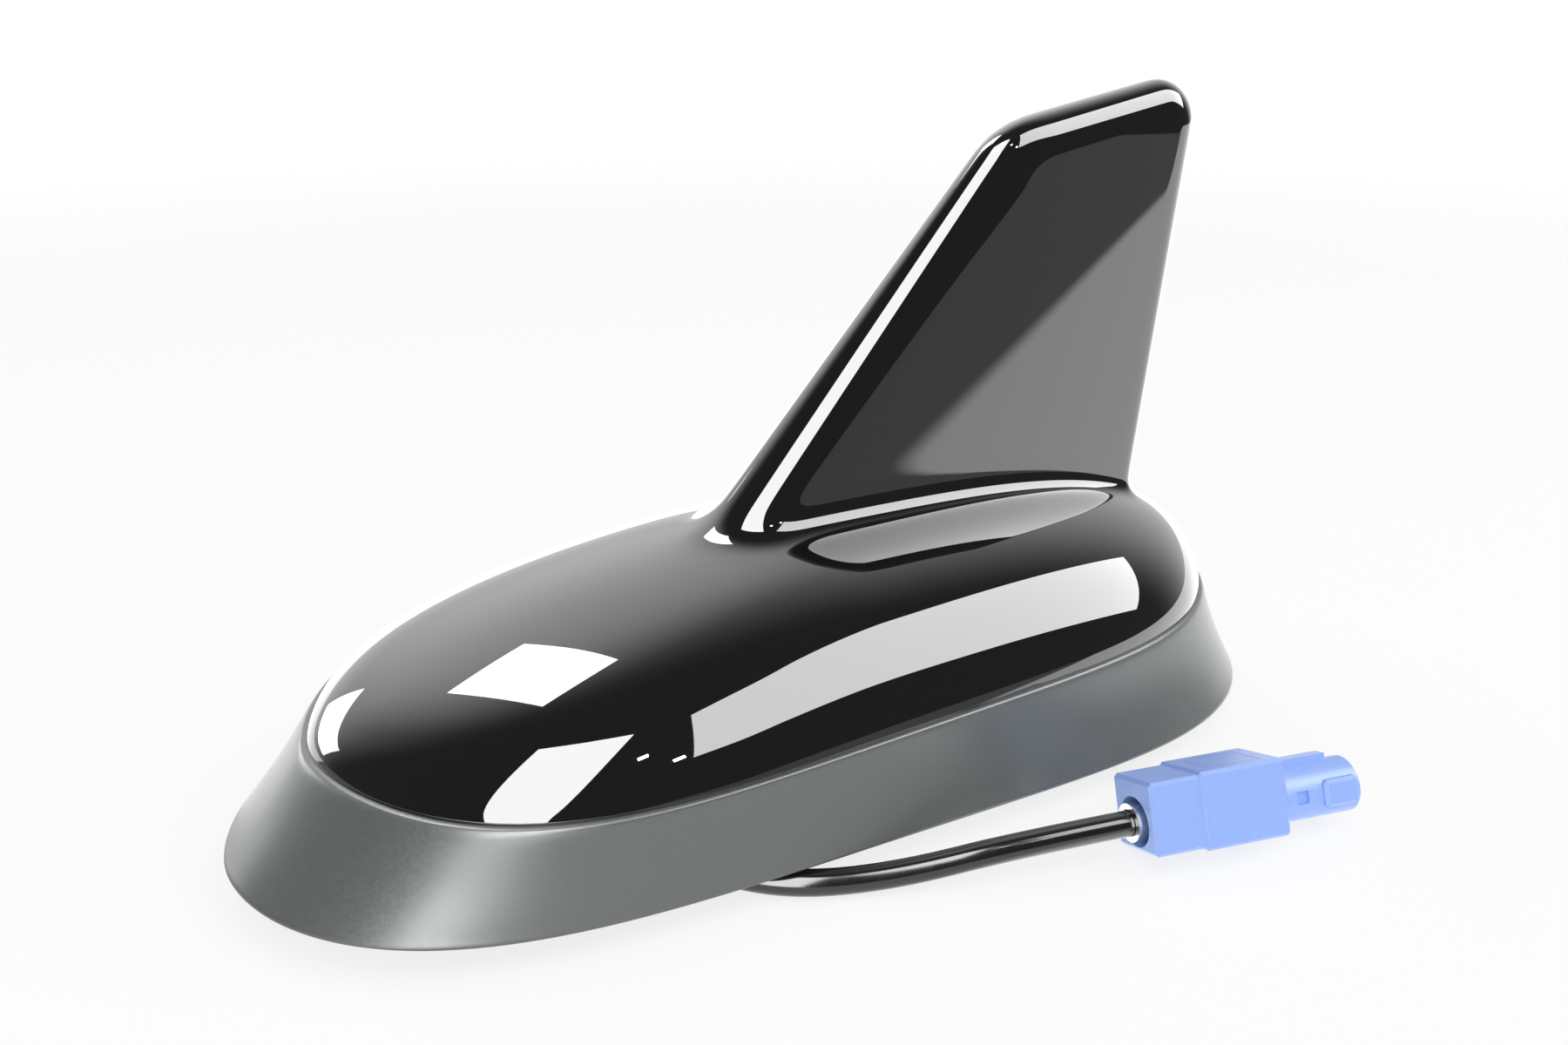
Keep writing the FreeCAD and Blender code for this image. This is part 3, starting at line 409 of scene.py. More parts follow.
def fin_half(z):
    """Half thickness of the fin's flat faces at a level."""
    return ROOT_HALF + (TOP_HALF - ROOT_HALF) * (z - ROOT_LEVEL) / (SHOULDER_LEVEL - ROOT_LEVEL)


class Edge:
    """A straight edge of the fin in side view: a point, its direction and its rounding."""

    def __init__(self, x, z, angle, side, depth):
        self.place = Vector((x, z))
        self.along = Vector((cos(radians(angle)), sin(radians(angle))))
        self.out = Vector((side * self.along.y, -side * self.along.x))
        self.depth = depth

    def at(self, z, inward):
        """A point of the edge, or of a line parallel to it, at a level."""
        start = self.place - self.out * inward
        return start + self.along * ((z - start.y) / self.along.y)


front_edge = Edge(x=-10.2, z=ROOT_LEVEL, angle=48.3, side=-1, depth=6.0)
top_edge = Edge(x=36.0, z=SHOULDER_LEVEL, angle=10.6, side=-1, depth=4.5)
back_edge = Edge(x=56.3, z=ROOT_LEVEL, angle=83.0, side=1, depth=3.4)
print("fin %.1f mm thick at the root, %.1f mm at the shoulder" % (2 * ROOT_HALF, 2 * TOP_HALF))

# %% [markdown]
# ## Cover: the fin's corners
# The front and the back run into the top through rounded corners, a wide one in front and a
# tighter one behind. A Bevel would round them too, but not at the radii of the real fin and
# with the edge's own rounding carried along. So a corner is an arc that touches both edges,
# and the rounding changes along it from one edge's to the other's.


# %% Fin corners
class Corner:
    """A rounded corner between two edges of the fin."""

    def __init__(self, first, second, radius):
        self.first, self.second, self.radius = first, second, radius
        a, b = first.out, second.out
        first_reach, second_reach = first.place.dot(a) - radius, second.place.dot(b) - radius
        spread = a.x * b.y - a.y * b.x
        self.centre = Vector(((first_reach * b.y - second_reach * a.y) / spread,
                              (second_reach * a.x - first_reach * b.x) / spread))
        self.turns = [atan2(edge.out.y, edge.out.x) for edge in (first, second)]

    def at(self, share, angle):
        """A point on the rounded edge: share of the corner, and angle round the edge."""
        turn = self.turns[0] + (self.turns[1] - self.turns[0]) * share
        depth = self.first.depth + (self.second.depth - self.first.depth) * share
        reach = self.radius - depth * (1 - cos(angle))
        return self.centre + Vector((cos(turn), sin(turn))) * reach


front_corner = Corner(front_edge, top_edge, radius=14.0)
back_corner = Corner(back_edge, top_edge, radius=5.5)
print("fin top reaches %.1f mm" % back_corner.at(0.5, 0).y)

# %% [markdown]
# ## Cover: columns of the net
# A mirror finish shows every uneven face, so the faces have to flow with the form. The net
# has one column for each step round the seam. A column climbs the dome, turns up through
# the root fillet and goes on up the fin. The first and last few columns belong to the
# rounded front and back edges, so the edge loops follow the real rounds.

# %% Columns
EDGE_COLUMNS, FLAT_COLUMNS = 6, 16
HALF = 2 * EDGE_COLUMNS + FLAT_COLUMNS
FRONT_TURN, BACK_TURN = radians(66), radians(142)


def column_kind(c):
    """Which edge a column belongs to, and its angle round that edge or share of the flat."""
    if c <= EDGE_COLUMNS:
        return front_edge, pi / 2 * c / EDGE_COLUMNS
    if c >= HALF - EDGE_COLUMNS:
        return back_edge, pi / 2 * (HALF - c) / EDGE_COLUMNS
    return None, (c - EDGE_COLUMNS) / FLAT_COLUMNS


def seam_turn(c):
    """The turn round the seam at which a column starts."""
    edge, angle = column_kind(c)
    if edge is front_edge:
        return FRONT_TURN * angle / (pi / 2)
    if edge is back_edge:
        return pi - (pi - BACK_TURN) * angle / (pi / 2)
    return FRONT_TURN + (BACK_TURN - FRONT_TURN) * angle


print("columns on each side:", HALF)

# %% [markdown]
# ## Cover: the fin's root
# Where the fin meets the dome, the moulding has a fillet that is wide in front and tight at
# the rear. A bevel on a Boolean's edge would break the net, so each column first finds its
# foot, where the sharp corner would be, and then a point on the dome and one on the fin at
# the fillet's radius from it.

# %% Root
FILLET_FRONT, FILLET_REAR = 5.0, 2.4
SETTLE = 40


def edge_foot(edge, angle):
    """Where a line of the rounded edge meets the dome."""
    inward = edge.depth * (1 - cos(angle))
    z = ROOT_LEVEL
    for _ in range(SETTLE):
        z = dome_height(edge.at(z, inward).x, fin_half(z) * sin(angle))
    return Vector((edge.at(z, inward).x, fin_half(z) * sin(angle), z))


def foot_point(c):
    edge, value = column_kind(c)
    if edge:
        return edge_foot(edge, value)
    point = edge_foot(front_edge, pi / 2).lerp(edge_foot(back_edge, pi / 2), value)
    for _ in range(SETTLE):
        point.y = fin_half(point.z)
        point.z = dome_height(point.x, point.y)
    return point


feet = [foot_point(c) for c in range(HALF + 1)]


def root_points(c):
    """Where a column leaves the dome and where it joins the fin's side."""
    edge, value = column_kind(c)
    share = (feet[c].x - front_edge.place.x) / (back_edge.place.x - front_edge.place.x)
    radius = FILLET_FRONT + (FILLET_REAR - FILLET_FRONT) * max(0.0, min(1.0, share))
    if c in (0, HALF):
        out = Vector((-1 if c == 0 else 1, 0, 0))
    else:
        along = feet[c + 1] - feet[c - 1]
        out = Vector((-along.y, along.x, 0)).normalized()
    spread = feet[c] + radius * out
    spread.z = dome_height(spread.x, spread.y)
    blend = 0 if edge is front_edge else 1 if edge is back_edge else value
    up = front_edge.along.lerp(back_edge.along, blend).normalized()
    wall = feet[c] + radius * Vector((up.x, 0, up.y))
    wall.y = fin_half(wall.z) * (sin(value) if edge else 1.0)
    return spread, wall


roots = [root_points(c) for c in range(HALF + 1)]
print("root from x %.1f to %.1f mm" % (feet[0].x, feet[HALF].x))

# %% [markdown]
# ## Cover: rows up the fin
# Above the root, the columns of the rounded edges run up to the middles of the two corners,
# and the top edge spans between those. A bevelled curve would give the rounding, but as a tube
# apart from the faces. Here each strip of it is its own line, parallel to the edge, and the
# flat face starts from the last one.

# %% Rows
DOME_ROWS, FILLET_ROWS, FIN_ROWS, CORNER_ROWS = 10, 5, 11, 4
SIDE_ROWS = FIN_ROWS + CORNER_ROWS
FRONT_STEPS, REAR_STEPS = 2, 4


def side_point(place, angle):
    """A place in side view, moved out to the fin's rounded side."""
    return Vector((place.x, fin_half(place.y) * sin(angle), place.y))


def rim_strip(edge, corner, c, row):
    """A column of the front or back rounded edge, up to the middle of its corner."""
    angle = column_kind(c)[1]
    start = Vector((roots[c][1].x, roots[c][1].z))
    if row <= FIN_ROWS:
        return side_point(start.lerp(corner.at(0, angle), row / FIN_ROWS), angle)
    return side_point(corner.at(0.5 * (row - FIN_ROWS) / CORNER_ROWS, angle), angle)


def top_point(step, angle):
    """A point on the rounded top edge, between the middles of the two corners."""
    last = FLAT_COLUMNS - REAR_STEPS
    if step <= FRONT_STEPS:
        return side_point(front_corner.at(0.5 + 0.5 * step / FRONT_STEPS, angle), angle)
    if step >= last:
        return side_point(back_corner.at(1 - 0.5 * (step - last) / REAR_STEPS, angle), angle)
    start, end = front_corner.at(1, angle), back_corner.at(1, angle)
    return side_point(start.lerp(end, (step - FRONT_STEPS) / (last - FRONT_STEPS)), angle)


ROWS = DOME_ROWS + FILLET_ROWS + SIDE_ROWS
print("rows from the seam to the corners:", ROWS)

# %% [markdown]
# ## Cover: the whole net
# The fin's face is flat, but its four borders aren't parallel. A grid fill leaves the lines to
# chance. Blending the face from its borders makes them lean gently from the front's rake to
# the back's. With that, every point of the net has a formula for its column and its row.


# %% Net
def flat_point(c, row):
    """A point on the fin's flat face, blended between its four borders."""
    j = c - EDGE_COLUMNS
    u, v = j / FLAT_COLUMNS, row / SIDE_ROWS
    first, last = EDGE_COLUMNS, HALF - EDGE_COLUMNS
    left = rim_strip(front_edge, front_corner, first, row)
    right = rim_strip(back_edge, back_corner, last, row)
    low, high = roots[c][1], top_point(j, pi / 2)
    corners = (roots[first][1].lerp(roots[last][1], u) * (1 - v)
               + top_point(0, pi / 2).lerp(top_point(FLAT_COLUMNS, pi / 2), u) * v)
    point = left.lerp(right, u) + low.lerp(high, v) - corners
    return Vector((point.x, fin_half(point.z), point.z))


def cover_point(c, row):
    """A point of the cover's net, for a column from nose to rear and a row from the seam up."""
    spread, wall = roots[c]
    if row <= DOME_ROWS:
        rise = 1 - cos(pi / 2 * row / DOME_ROWS)
        x, y = (a + (b - a) * rise for a, b in zip(seam.at(seam_turn(c)), spread))
        y = 0.0 if c in (0, HALF) else y
        return Vector((x, y, SEAM_LEVEL if row == 0 else dome_height(x, y)))
    row -= DOME_ROWS
    if row <= FILLET_ROWS:
        t = row / FILLET_ROWS
        return spread * (1 - t) ** 2 + feet[c] * (2 * t * (1 - t)) + wall * t ** 2
    row -= FILLET_ROWS
    if c <= EDGE_COLUMNS:
        return rim_strip(front_edge, front_corner, c, row)
    if c >= HALF - EDGE_COLUMNS:
        return rim_strip(back_edge, back_corner, c, row)
    return flat_point(c, row)


face_middle = cover_point(HALF // 2, DOME_ROWS + FILLET_ROWS + SIDE_ROWS // 2)
print("middle of the fin's face at", tuple(round(v, 1) for v in face_middle), "mm")

# %% [markdown]
# ## Extruding rings
# In the editor one would select a loop, extrude it and move it. The same is done here: a
# circle is laid on the first ring of places, and each extrusion makes the next ring, which
# is then moved to its own places. An open chain works the same way.


# %% Rings
def start_ring(bm, places):
    """A circle of vertices laid on its places."""
    ring = bmesh.ops.create_circle(bm, segments=len(places), radius=1.0)["verts"]
    for vert, place in zip(ring, places):
        vert.co = place
    return ring


def loop_edges(bm, ring):
    """The edges of a closed ring."""
    return [bm.edges.get((ring[i - 1], ring[i])) for i in range(len(ring))]


def extrude_ring(bm, verts, places, closed=True):
    """Extrudes a chain of vertices once and puts the new ones at their places."""
    pairs = list(zip(verts, verts[1:])) + ([(verts[-1], verts[0])] if closed else [])
    edges = [bm.edges.get(pair) for pair in pairs]
    made = set(bmesh.ops.extrude_edge_only(bm, edges=edges)["geom"])
    fresh = [next(e.other_vert(vert) for e in vert.link_edges if e.other_vert(vert) in made)
             for vert in verts]
    for vert, place in zip(fresh, places):
        vert.co = place
    return fresh


RING = 2 * HALF


def ring_place(i, row):
    """A ring runs from the nose along +y to the rear, and back along -y."""
    point = cover_point(i if i <= HALF else RING - i, row)
    if i > HALF:
        point.y = -point.y
    return point * MM


print("vertices in a ring:", RING)

# %% [markdown]
# ## Cover: the mesh
# The rings climb from the seam to the fin's shoulders. What is left open is a slot along the
# top, which is closed by extruding the front edge's last row along it and merging where it
# meets the sides. Subdivision smooths the net, and Solidify gives the 2.2 mm wall inwards,
# so that the moulding is hollow as the real one is.

# %% Cover
COVER_WALL = 2.2 * MM
MERGE_WITHIN = 0.02 * MM
SMOOTH_LEVELS = 2
bm = bmesh.new()
ring = start_ring(bm, [ring_place(i, 0) for i in range(RING)])
for row in range(1, ROWS + 1):
    ring = extrude_ring(bm, ring, [ring_place(i, row) for i in range(RING)])
strip = range(-EDGE_COLUMNS, EDGE_COLUMNS + 1)
front = [ring[i % RING] for i in strip]
for step in range(1, FLAT_COLUMNS + 1):
    places = [top_point(step, pi / 2 * i / EDGE_COLUMNS) * MM for i in strip]
    front = extrude_ring(bm, front, places, closed=False)
bmesh.ops.remove_doubles(bm, verts=bm.verts, dist=MERGE_WITHIN)
bmesh.ops.recalc_face_normals(bm, faces=bm.faces)
cover = make_piece("cover_shell", bm, gloss_abs, "cover")
subdivide(cover, SMOOTH_LEVELS)
wall = cover.modifiers.new("wall", "SOLIDIFY")
wall.thickness = COVER_WALL
wall.offset = -1.0

# %% [markdown]
# ## Skirt
# The skirt is a soft grey moulding that flares out to the roof. Its section is walked once
# round: a thin lip at the rim, a slightly hollow flank, a rounded top edge and the inner
# wall. A plain loft from rim to seam would look stamped. The small radii at the rim and the
# top catch the thin lines of light that show on the real part.

# %% Skirt
SKIRT_RISE = SEAM_LEVEL - RIM_LEVEL
SKIRT_STEPS = 96
FLANK_ROWS = 8
FLANK_FROM, FLANK_TO = RIM_LEVEL + 1.0, SEAM_LEVEL - 0.5
FLANK_INSET, FLANK_HOLLOW = 0.12, 0.35
# Each point is how far it lies in from the flare, and its height over the rim or drop from the seam
RIM_LIP = [(2.4, 0.0), (0.7, 0.0), (0.15, 0.12), (0.0, 0.45)]
TOP_EDGE = [(0.25, 0.12), (0.55, 0.02), (1.4, 0.05), (2.5, 0.6)]
INNER_FOOT = (2.5, 1.0)
# The skirt's top stands out this far round the cover
LEDGE = 0.5
skirt_section = [(inset, RIM_LEVEL + rise) for inset, rise in RIM_LIP]
for i in range(FLANK_ROWS + 1):
    share = i / FLANK_ROWS
    level = FLANK_FROM + (FLANK_TO - FLANK_FROM) * share
    skirt_section.append((FLANK_INSET + FLANK_HOLLOW * sin(pi * share), level))
skirt_section += [(inset, SEAM_LEVEL - drop) for inset, drop in TOP_EDGE]
skirt_section.append((INNER_FOOT[0], RIM_LEVEL + INNER_FOOT[1]))


def skirt_places(inset, level):
    """One ring of the skirt: an outline between the rim's and the seam's, drawn in a little."""
    outline = rim.towards(seam.inset(-LEDGE), (level - RIM_LEVEL) / SKIRT_RISE).inset(inset)
    turns = [2 * pi * i / SKIRT_STEPS for i in range(SKIRT_STEPS)]
    return [Vector((*outline.at(turn), level)) * MM for turn in turns]


bm = bmesh.new()
first_ring = ring = start_ring(bm, skirt_places(*skirt_section[0]))
for inset, level in skirt_section[1:]:
    ring = extrude_ring(bm, ring, skirt_places(inset, level))
bmesh.ops.bridge_loops(bm, edges=loop_edges(bm, first_ring) + loop_edges(bm, ring))
bmesh.ops.recalc_face_normals(bm, faces=bm.faces)
skirt = make_piece("skirt_ring", bm, satin_skirt, "skirt")
subdivide(skirt, SMOOTH_LEVELS)

# %% [markdown]
# ## Cover screws
# Four pan-head screws hold the plate to the cover, and their heads show from below. The
# solids have plain heads. Each head gets a six-lobe recess here: a Boolean with a lobed bar
# would cut it, but a ring whose radius swells six times round gives the same recess, and the
# rest of the screw goes on as plain rings. Edges sharper than 30 degrees stay crisp.

# %% Cover screws
SCREW_PLACES = [(-47.5, 12.0), (-47.5, -12.0), (44.0, 17.0), (44.0, -17.0)]
# From the recess's floor over the head to the point: mean radius, swell of the lobes, level
SCREW_RINGS = [(1.10, 0.16, 4.80), (1.16, 0.18, 3.78), (1.24, 0.18, 3.70), (2.35, 0.0, 3.70),
               (2.68, 0.0, 3.82), (2.80, 0.0, 4.10), (2.80, 0.0, 5.45), (2.65, 0.0, 5.60),
               (1.20, 0.0, 5.60), (1.20, 0.0, 14.20), (0.70, 0.0, 14.80)]
TURNED_STEPS = 48
LOBES = 6
CRISP = radians(30)
turns = [2 * pi * i / TURNED_STEPS for i in range(TURNED_STEPS)]


def turned_ring(axis, radii, z):
    """A ring about an upright axis, with a radius for each turn."""
    return [Vector((axis[0] + radius * cos(turn), axis[1] + radius * sin(turn), z)) * MM
            for turn, radius in zip(turns, radii)]


def screw_ring(axis, radius, swell, z):
    return turned_ring(axis, [radius + swell * cos(LOBES * turn) for turn in turns], z)


bm = bmesh.new()
for place in SCREW_PLACES:
    ring = start_ring(bm, screw_ring(place, *SCREW_RINGS[0]))
    bmesh.ops.edgeloop_fill(bm, edges=loop_edges(bm, ring))
    for numbers in SCREW_RINGS[1:]:
        ring = extrude_ring(bm, ring, screw_ring(place, *numbers))
    bmesh.ops.edgeloop_fill(bm, edges=loop_edges(bm, ring))
bmesh.ops.recalc_face_normals(bm, faces=bm.faces)
screws = make_piece("lobed_screws", bm, zinc, "cover_screws")
screws.data.set_sharp_from_angle(angle=CRISP)

# %% [markdown]
# ## Roof insert
# The antenna is bolted down through a brass insert with an M6 thread. The solid has a plain
# bore. A spin with a rise gives a helix too, but leaves two open ends to close. Here the bore
# is a stack of rings whose radius follows a ridge that climbs one pitch in each turn, so
# that the thread is one closed surface.

# %% Roof insert
INSERT_AXIS = (18.0, 0.0)
INSERT_LOW, INSERT_HIGH = 0.6, 10.6
INSERT_RADIUS, INSERT_BEVEL = 4.5, 0.3
MOUTH_RADIUS, MOUTH_DEPTH = 3.1, 0.6
THREAD_PITCH, THREAD_DEPTH, THREAD_MINOR = 1.0, 0.5, 2.5
RINGS_PER_PITCH = 8
FACE_RADIUS = INSERT_RADIUS - INSERT_BEVEL
INSERT_OUTSIDE = [(MOUTH_RADIUS, INSERT_LOW), (FACE_RADIUS, INSERT_LOW),
                  (INSERT_RADIUS, INSERT_LOW + INSERT_BEVEL),
                  (INSERT_RADIUS, INSERT_HIGH - INSERT_BEVEL), (FACE_RADIUS, INSERT_HIGH)]


def thread_ring(z):
    """A ring of the bore, deepest half a pitch away from the thread's ridge."""
    phases = [(z / THREAD_PITCH - turn / (2 * pi)) % 1.0 for turn in turns]
    return turned_ring(INSERT_AXIS, [THREAD_MINOR + THREAD_DEPTH * (1 - abs(2 * phase - 1))
                                     for phase in phases], z)


bm = bmesh.new()
first_ring = ring = start_ring(bm, thread_ring(INSERT_HIGH))
thread_rings = round((INSERT_HIGH - INSERT_LOW - MOUTH_DEPTH) / THREAD_PITCH * RINGS_PER_PITCH)
for i in range(1, thread_rings + 1):
    ring = extrude_ring(bm, ring, thread_ring(INSERT_HIGH - i * THREAD_PITCH / RINGS_PER_PITCH))
for radius, z in INSERT_OUTSIDE:
    ring = extrude_ring(bm, ring, turned_ring(INSERT_AXIS, [radius] * TURNED_STEPS, z))
bmesh.ops.bridge_loops(bm, edges=loop_edges(bm, first_ring) + loop_edges(bm, ring))
bmesh.ops.recalc_face_normals(bm, faces=bm.faces)
insert = make_piece("threaded_insert", bm, brass, "roof_insert")
insert.data.set_sharp_from_angle(angle=CRISP)

# %% [markdown]
# ## Floor
# The antenna stands on a white sheet. A curved backdrop would do, but it shades darker where
# it bends. A flat disc that turns clear far out, where the white world takes over, has no bend
# and shows no edge. It lies a hair below the seal, so that the two faces don't coincide.

# %% Floor
FLOOR_RADIUS, FLOOR_STEPS = 3.0, 64
FLOOR_DROP = 0.05 * MM
FADE_FROM, FADE_TO = 0.35, 0.8
bm = bmesh.new()
bmesh.ops.create_circle(bm, cap_ends=True, segments=FLOOR_STEPS, radius=FLOOR_RADIUS)
mesh = bpy.data.meshes.new("floor")
bm.to_mesh(mesh)
bm.free()
floor = bpy.data.objects.new("floor", mesh)
floor.location.z = cad_box[0].z - FLOOR_DROP
scene.collection.objects.link(floor)
paper, tree = new_material("white_paper_sheet")
mesh.materials.append(paper)
coords = add_node(tree, "ShaderNodeTexCoord")
reach = add_node(tree, "ShaderNodeVectorMath", {0: coords.outputs["Object"]}, operation="LENGTH")
fade = add_node(tree, "ShaderNodeMapRange",
                {"Value": reach.outputs["Value"], "From Min": FADE_FROM, "From Max": FADE_TO},
                interpolation_type="SMOOTHSTEP")
print("floor %.1f m across at z %.2f mm" % (2 * FLOOR_RADIUS, floor.location.z / MM))

# %% [markdown]
# ## The floor in the gloss
# The antenna mirrors the floor, and in the photograph that mirrored floor isn't even. A painted
# glow, bright on one side of a slanting line and dim on the other, parts the fin's face in two.
# The floor close by glows paler than the room, and a painted pool of the window's light on it
# shows in the skirt's front. Cards on the floor would have to be hidden from the camera and
# would cast shadows. Three soft ranges of glow painted into the floor's own material, for
# reflected rays only, do neither.

# %% Floor in the gloss
# Painted glow in the gloss: a bright side and a dim side parted by a slanting line, a paler ring close
# by, and a painted pool of window light in front of the nose.
GLOW_LINE_OUT = (0.653, 0.758, 0.0)
GLOW_LINE, GLOW_LINE_SOFTNESS = -29 * MM, 4 * MM
NEAR_FROM, NEAR_TO = 105 * MM, 125 * MM
BRIGHT_SIDE_GLOW, NEAR_GLOW, ROOM_GLOW = 2.0, 1.0, 0.4
GLEAM_PLACE = (-110 * MM, -92 * MM, 0.0)
GLEAM_FROM, GLEAM_TO, GLEAM_GLOW = 25 * MM, 75 * MM, 6.0
# These masks paint the glow that reflected rays see on the floor. It is painted light, not the paper's
# colour.
beyond = add_node(tree, "ShaderNodeVectorMath", {0: coords.outputs["Object"], 1: GLOW_LINE_OUT},
                  operation="DOT_PRODUCT")
glow_sides = add_node(tree, "ShaderNodeMapRange",
                 {"Value": beyond.outputs["Value"], "From Min": GLOW_LINE - GLOW_LINE_SOFTNESS,
                  "From Max": GLOW_LINE + GLOW_LINE_SOFTNESS, "To Min": ROOM_GLOW, "To Max": BRIGHT_SIDE_GLOW},
                 interpolation_type="SMOOTHSTEP")
near = add_node(tree, "ShaderNodeMapRange",
                {"Value": reach.outputs["Value"], "From Min": NEAR_FROM, "From Max": NEAR_TO,
                 "To Min": NEAR_GLOW, "To Max": 0.0}, interpolation_type="SMOOTHSTEP")
away = add_node(tree, "ShaderNodeVectorMath", {0: coords.outputs["Object"], 1: GLEAM_PLACE},
                operation="DISTANCE")
gleam = add_node(tree, "ShaderNodeMapRange",
                 {"Value": away.outputs["Value"], "From Min": GLEAM_FROM, "From Max": GLEAM_TO,
                  "To Min": GLEAM_GLOW, "To Max": 0.0}, interpolation_type="SMOOTHSTEP")
lit = add_node(tree, "ShaderNodeMath", {0: glow_sides.outputs["Result"], 1: near.outputs["Result"]},
               operation="MAXIMUM")
glow = add_node(tree, "ShaderNodeMath", {0: lit.outputs["Value"], 1: gleam.outputs["Result"]},
                operation="MAXIMUM")
print("floor in the gloss from %.1f to %.1f" % (ROOM_GLOW, GLEAM_GLOW))

# %% [markdown]
# ## The floor's whites
# To the camera the sheet is a matt white, mostly lifted to the background's own white, and the
# rest keeps the object's shadow. More light would lift it too, but would burn out the object.
# The floor is never sampled as a lamp, so that its glow lights nothing.

# %% Floor whites
PAPER_WHITE = "#f2f2f2"
WHITE_LIFT = 0.8
path = add_node(tree, "ShaderNodeLightPath")
matt = add_node(tree, "ShaderNodeBsdfDiffuse", {"Color": linear(PAPER_WHITE)})
mirrored = add_node(tree, "ShaderNodeEmission", {"Strength": glow.outputs["Value"]})
clear = add_node(tree, "ShaderNodeBsdfTransparent")
white = add_node(tree, "ShaderNodeEmission", {"Strength": 1.0})
looked_at = add_node(tree, "ShaderNodeMath", {0: path.outputs["Is Camera Ray"],
                                              1: path.outputs["Is Transmission Ray"]},
                     operation="MAXIMUM")
lift = add_node(tree, "ShaderNodeMath", {0: looked_at.outputs["Value"], 1: WHITE_LIFT},
                operation="MULTIPLY")
lifted = add_node(tree, "ShaderNodeMixShader", {0: lift.outputs["Value"], 1: matt.outputs["BSDF"],
                                                2: white.outputs["Emission"]})
faded = add_node(tree, "ShaderNodeMixShader", {0: fade.outputs["Result"], 1: lifted.outputs["Shader"],
                                               2: clear.outputs["BSDF"]})
seen = add_node(tree, "ShaderNodeMixShader", {0: path.outputs["Is Glossy Ray"],
                                              1: faded.outputs["Shader"],
                                              2: mirrored.outputs["Emission"]})
add_node(tree, "ShaderNodeOutputMaterial", {"Surface": seen.outputs["Shader"]})
paper.cycles.emission_sampling = "NONE"
print("floor lifted %.0f percent to white" % (100 * WHITE_LIFT))

# %% [markdown]
# ## World
# The world is white to the camera. To everything that it lights it is an even, plain fill.
# Reflected rays see something else: a pale backdrop behind the antenna that is brightest high
# up and falls off into a dim room. It could be a curved mesh, but two soft cones of brightness
# about a direction are simpler, and they have no edges to show in the gloss.

# %% World
WORLD_FILL, ROOM_SHADE = 0.35, 0.1
# Each cone: azimuth and elevation, inner and outer angle, and what it adds
BACKDROP_TOWARDS, BACKDROP_ANGLES, BACKDROP_GLOW = (155, 0), (50, 85), 0.9
UPPER_TOWARDS, UPPER_ANGLES, UPPER_GLOW = (172, 42), (8, 36), 0.6


def direction(azimuth, elevation):
    """A direction from the antenna, in degrees round from -Y towards +X and up."""
    a, e = radians(azimuth), radians(elevation)
    return Vector((sin(a) * cos(e), -cos(a) * cos(e), sin(e)))


def soft_cone(tree, rays, towards, inner, outer):
    """1 within an angle about a direction, falling softly to 0 at an outer angle."""
    turn = add_node(tree, "ShaderNodeVectorMath", {0: rays, 1: towards}, operation="DOT_PRODUCT")
    cone = add_node(tree, "ShaderNodeMapRange",
                    {"Value": turn.outputs["Value"], "From Min": cos(radians(outer)),
                     "From Max": cos(radians(inner))}, interpolation_type="SMOOTHSTEP")
    return cone.outputs["Result"]


world = bpy.data.worlds.new("studio")
scene.world = world
world.use_nodes = True
tree = world.node_tree
tree.nodes.clear()
rays = add_node(tree, "ShaderNodeTexCoord").outputs["Generated"]
wide_cone = soft_cone(tree, rays, direction(*BACKDROP_TOWARDS), *BACKDROP_ANGLES)
backdrop = add_node(tree, "ShaderNodeMath", {0: wide_cone, 1: BACKDROP_GLOW, 2: ROOM_SHADE},
                    operation="MULTIPLY_ADD")
high_cone = soft_cone(tree, rays, direction(*UPPER_TOWARDS), *UPPER_ANGLES)
upper = add_node(tree, "ShaderNodeMath", {0: high_cone, 1: UPPER_GLOW, 2: backdrop.outputs["Value"]},
                 operation="MULTIPLY_ADD")
path = add_node(tree, "ShaderNodeLightPath")
plain = add_node(tree, "ShaderNodeMix", {"Factor": path.outputs["Is Glossy Ray"],
                                         VALUE_A: WORLD_FILL, VALUE_B: upper.outputs["Value"]})
looked_at = add_node(tree, "ShaderNodeMath", {0: path.outputs["Is Camera Ray"],
                                              1: path.outputs["Is Transmission Ray"]},
                     operation="MAXIMUM")
strength = add_node(tree, "ShaderNodeMix", {"Factor": looked_at.outputs["Value"],
                                            VALUE_A: plain.outputs[VALUE_OUT], VALUE_B: 1.0})
shader = add_node(tree, "ShaderNodeBackground", {"Color": linear("#ffffff"),
                                                 "Strength": strength.outputs[VALUE_OUT]})
add_node(tree, "ShaderNodeOutputWorld", {"Surface": shader.outputs["Background"]})
print("world fill %.2f, backdrop in the gloss up to %.1f"
      % (WORLD_FILL, ROOM_SHADE + BACKDROP_GLOW + UPPER_GLOW))

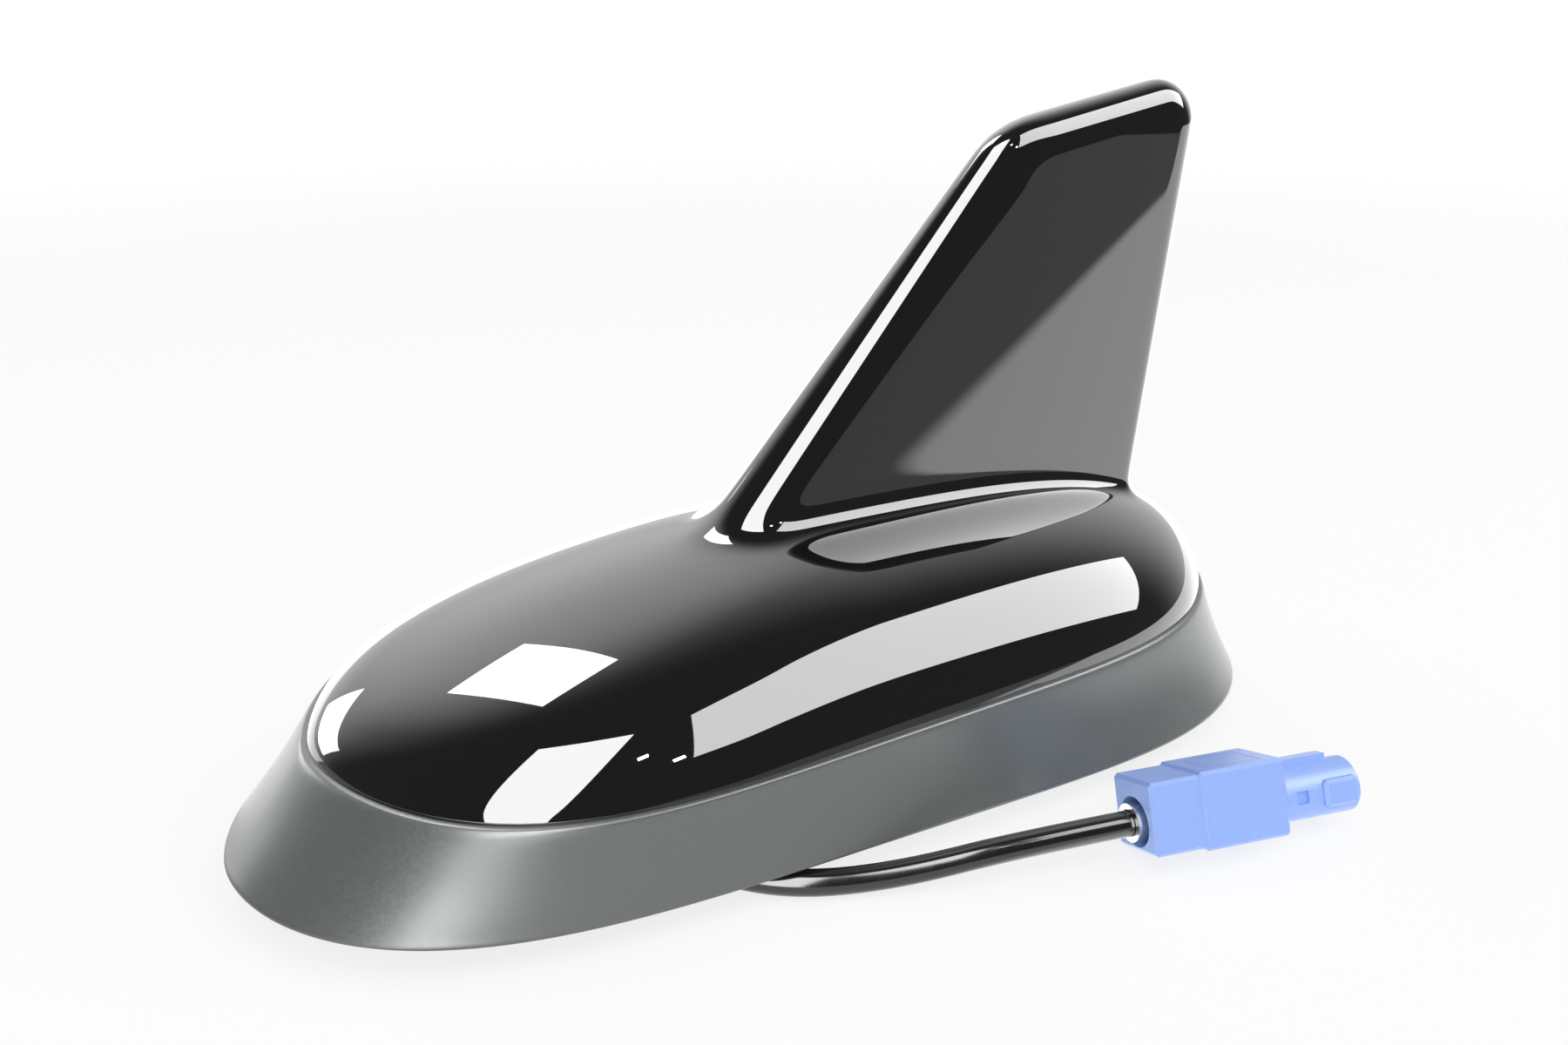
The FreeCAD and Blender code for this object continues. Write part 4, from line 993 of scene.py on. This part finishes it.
# %% [markdown]
# ## Lamps
# A tall window and a key box stand in front, and two smaller boxes behind, one high and one
# low. The dome mirrors all four. Gloss black shows lamps far brighter than a white sheet is,
# and one lamp that bright would burn out every pale colour. So each box is two lamps: a plain
# one that lights, and just in front of it a brighter one that only shows in reflections. Two
# small bulbs serve the gloss alone.

# %% Lamps
LAMP_DISTANCE = 1.2
SHINE_STEP = 0.02
LAMP_AIM = Vector((0, 0, 30)) * MM
PLAIN = 2.8
# Each box: azimuth, elevation, width, height and roll in degrees, then its shine in the gloss
BOXES = {"tall_window": ((-42, 38, 28, 80, 0), 10.0), "key_box": ((54, 43, 54, 28, -42), 6.5),
         "rear_box": ((-165, 58, 12, 26, 0), 10.0), "nose_box": ((-146, 13, 28, 16, 0), 6.0)}
BULBS = {"bulb_low": (10, 47, 2, 2, 0), "bulb_high": (1, 58, 2, 2, 0)}
BULB_SHINE = 60.0


def soft_box(name, azimuth, elevation, wide, tall, roll, radiance, seen_by):
    """A lamp that faces the object: direction and spread in degrees, brightness, who sees it."""
    towards = direction(azimuth, elevation)
    distance = LAMP_DISTANCE if seen_by == "diffuse" else LAMP_DISTANCE - SHINE_STEP
    lamp = bpy.data.lights.new(name, "AREA")
    lamp.shape = "RECTANGLE"
    lamp.size = 2 * distance * tan(radians(wide / 2))
    lamp.size_y = 2 * distance * tan(radians(tall / 2))
    lamp.energy = radiance * pi * lamp.size * lamp.size_y
    obj = bpy.data.objects.new(name, lamp)
    turned = (-towards).to_track_quat("-Z", "Y") @ Quaternion((0, 0, 1), radians(roll))
    obj.matrix_world = Matrix.LocRotScale(LAMP_AIM + towards * distance, turned, None)
    obj.visible_diffuse = seen_by == "diffuse"
    obj.visible_glossy = seen_by == "glossy"
    scene.collection.objects.link(obj)
    print(name, seen_by, "%.2f x %.2f m" % (lamp.size, lamp.size_y))


for name, (place, shine) in BOXES.items():
    soft_box(name + "_light", *place, PLAIN, "diffuse")
    soft_box(name + "_shine", *place, shine, "glossy")
for name, place in BULBS.items():
    soft_box(name, *place, BULB_SHINE, "glossy")
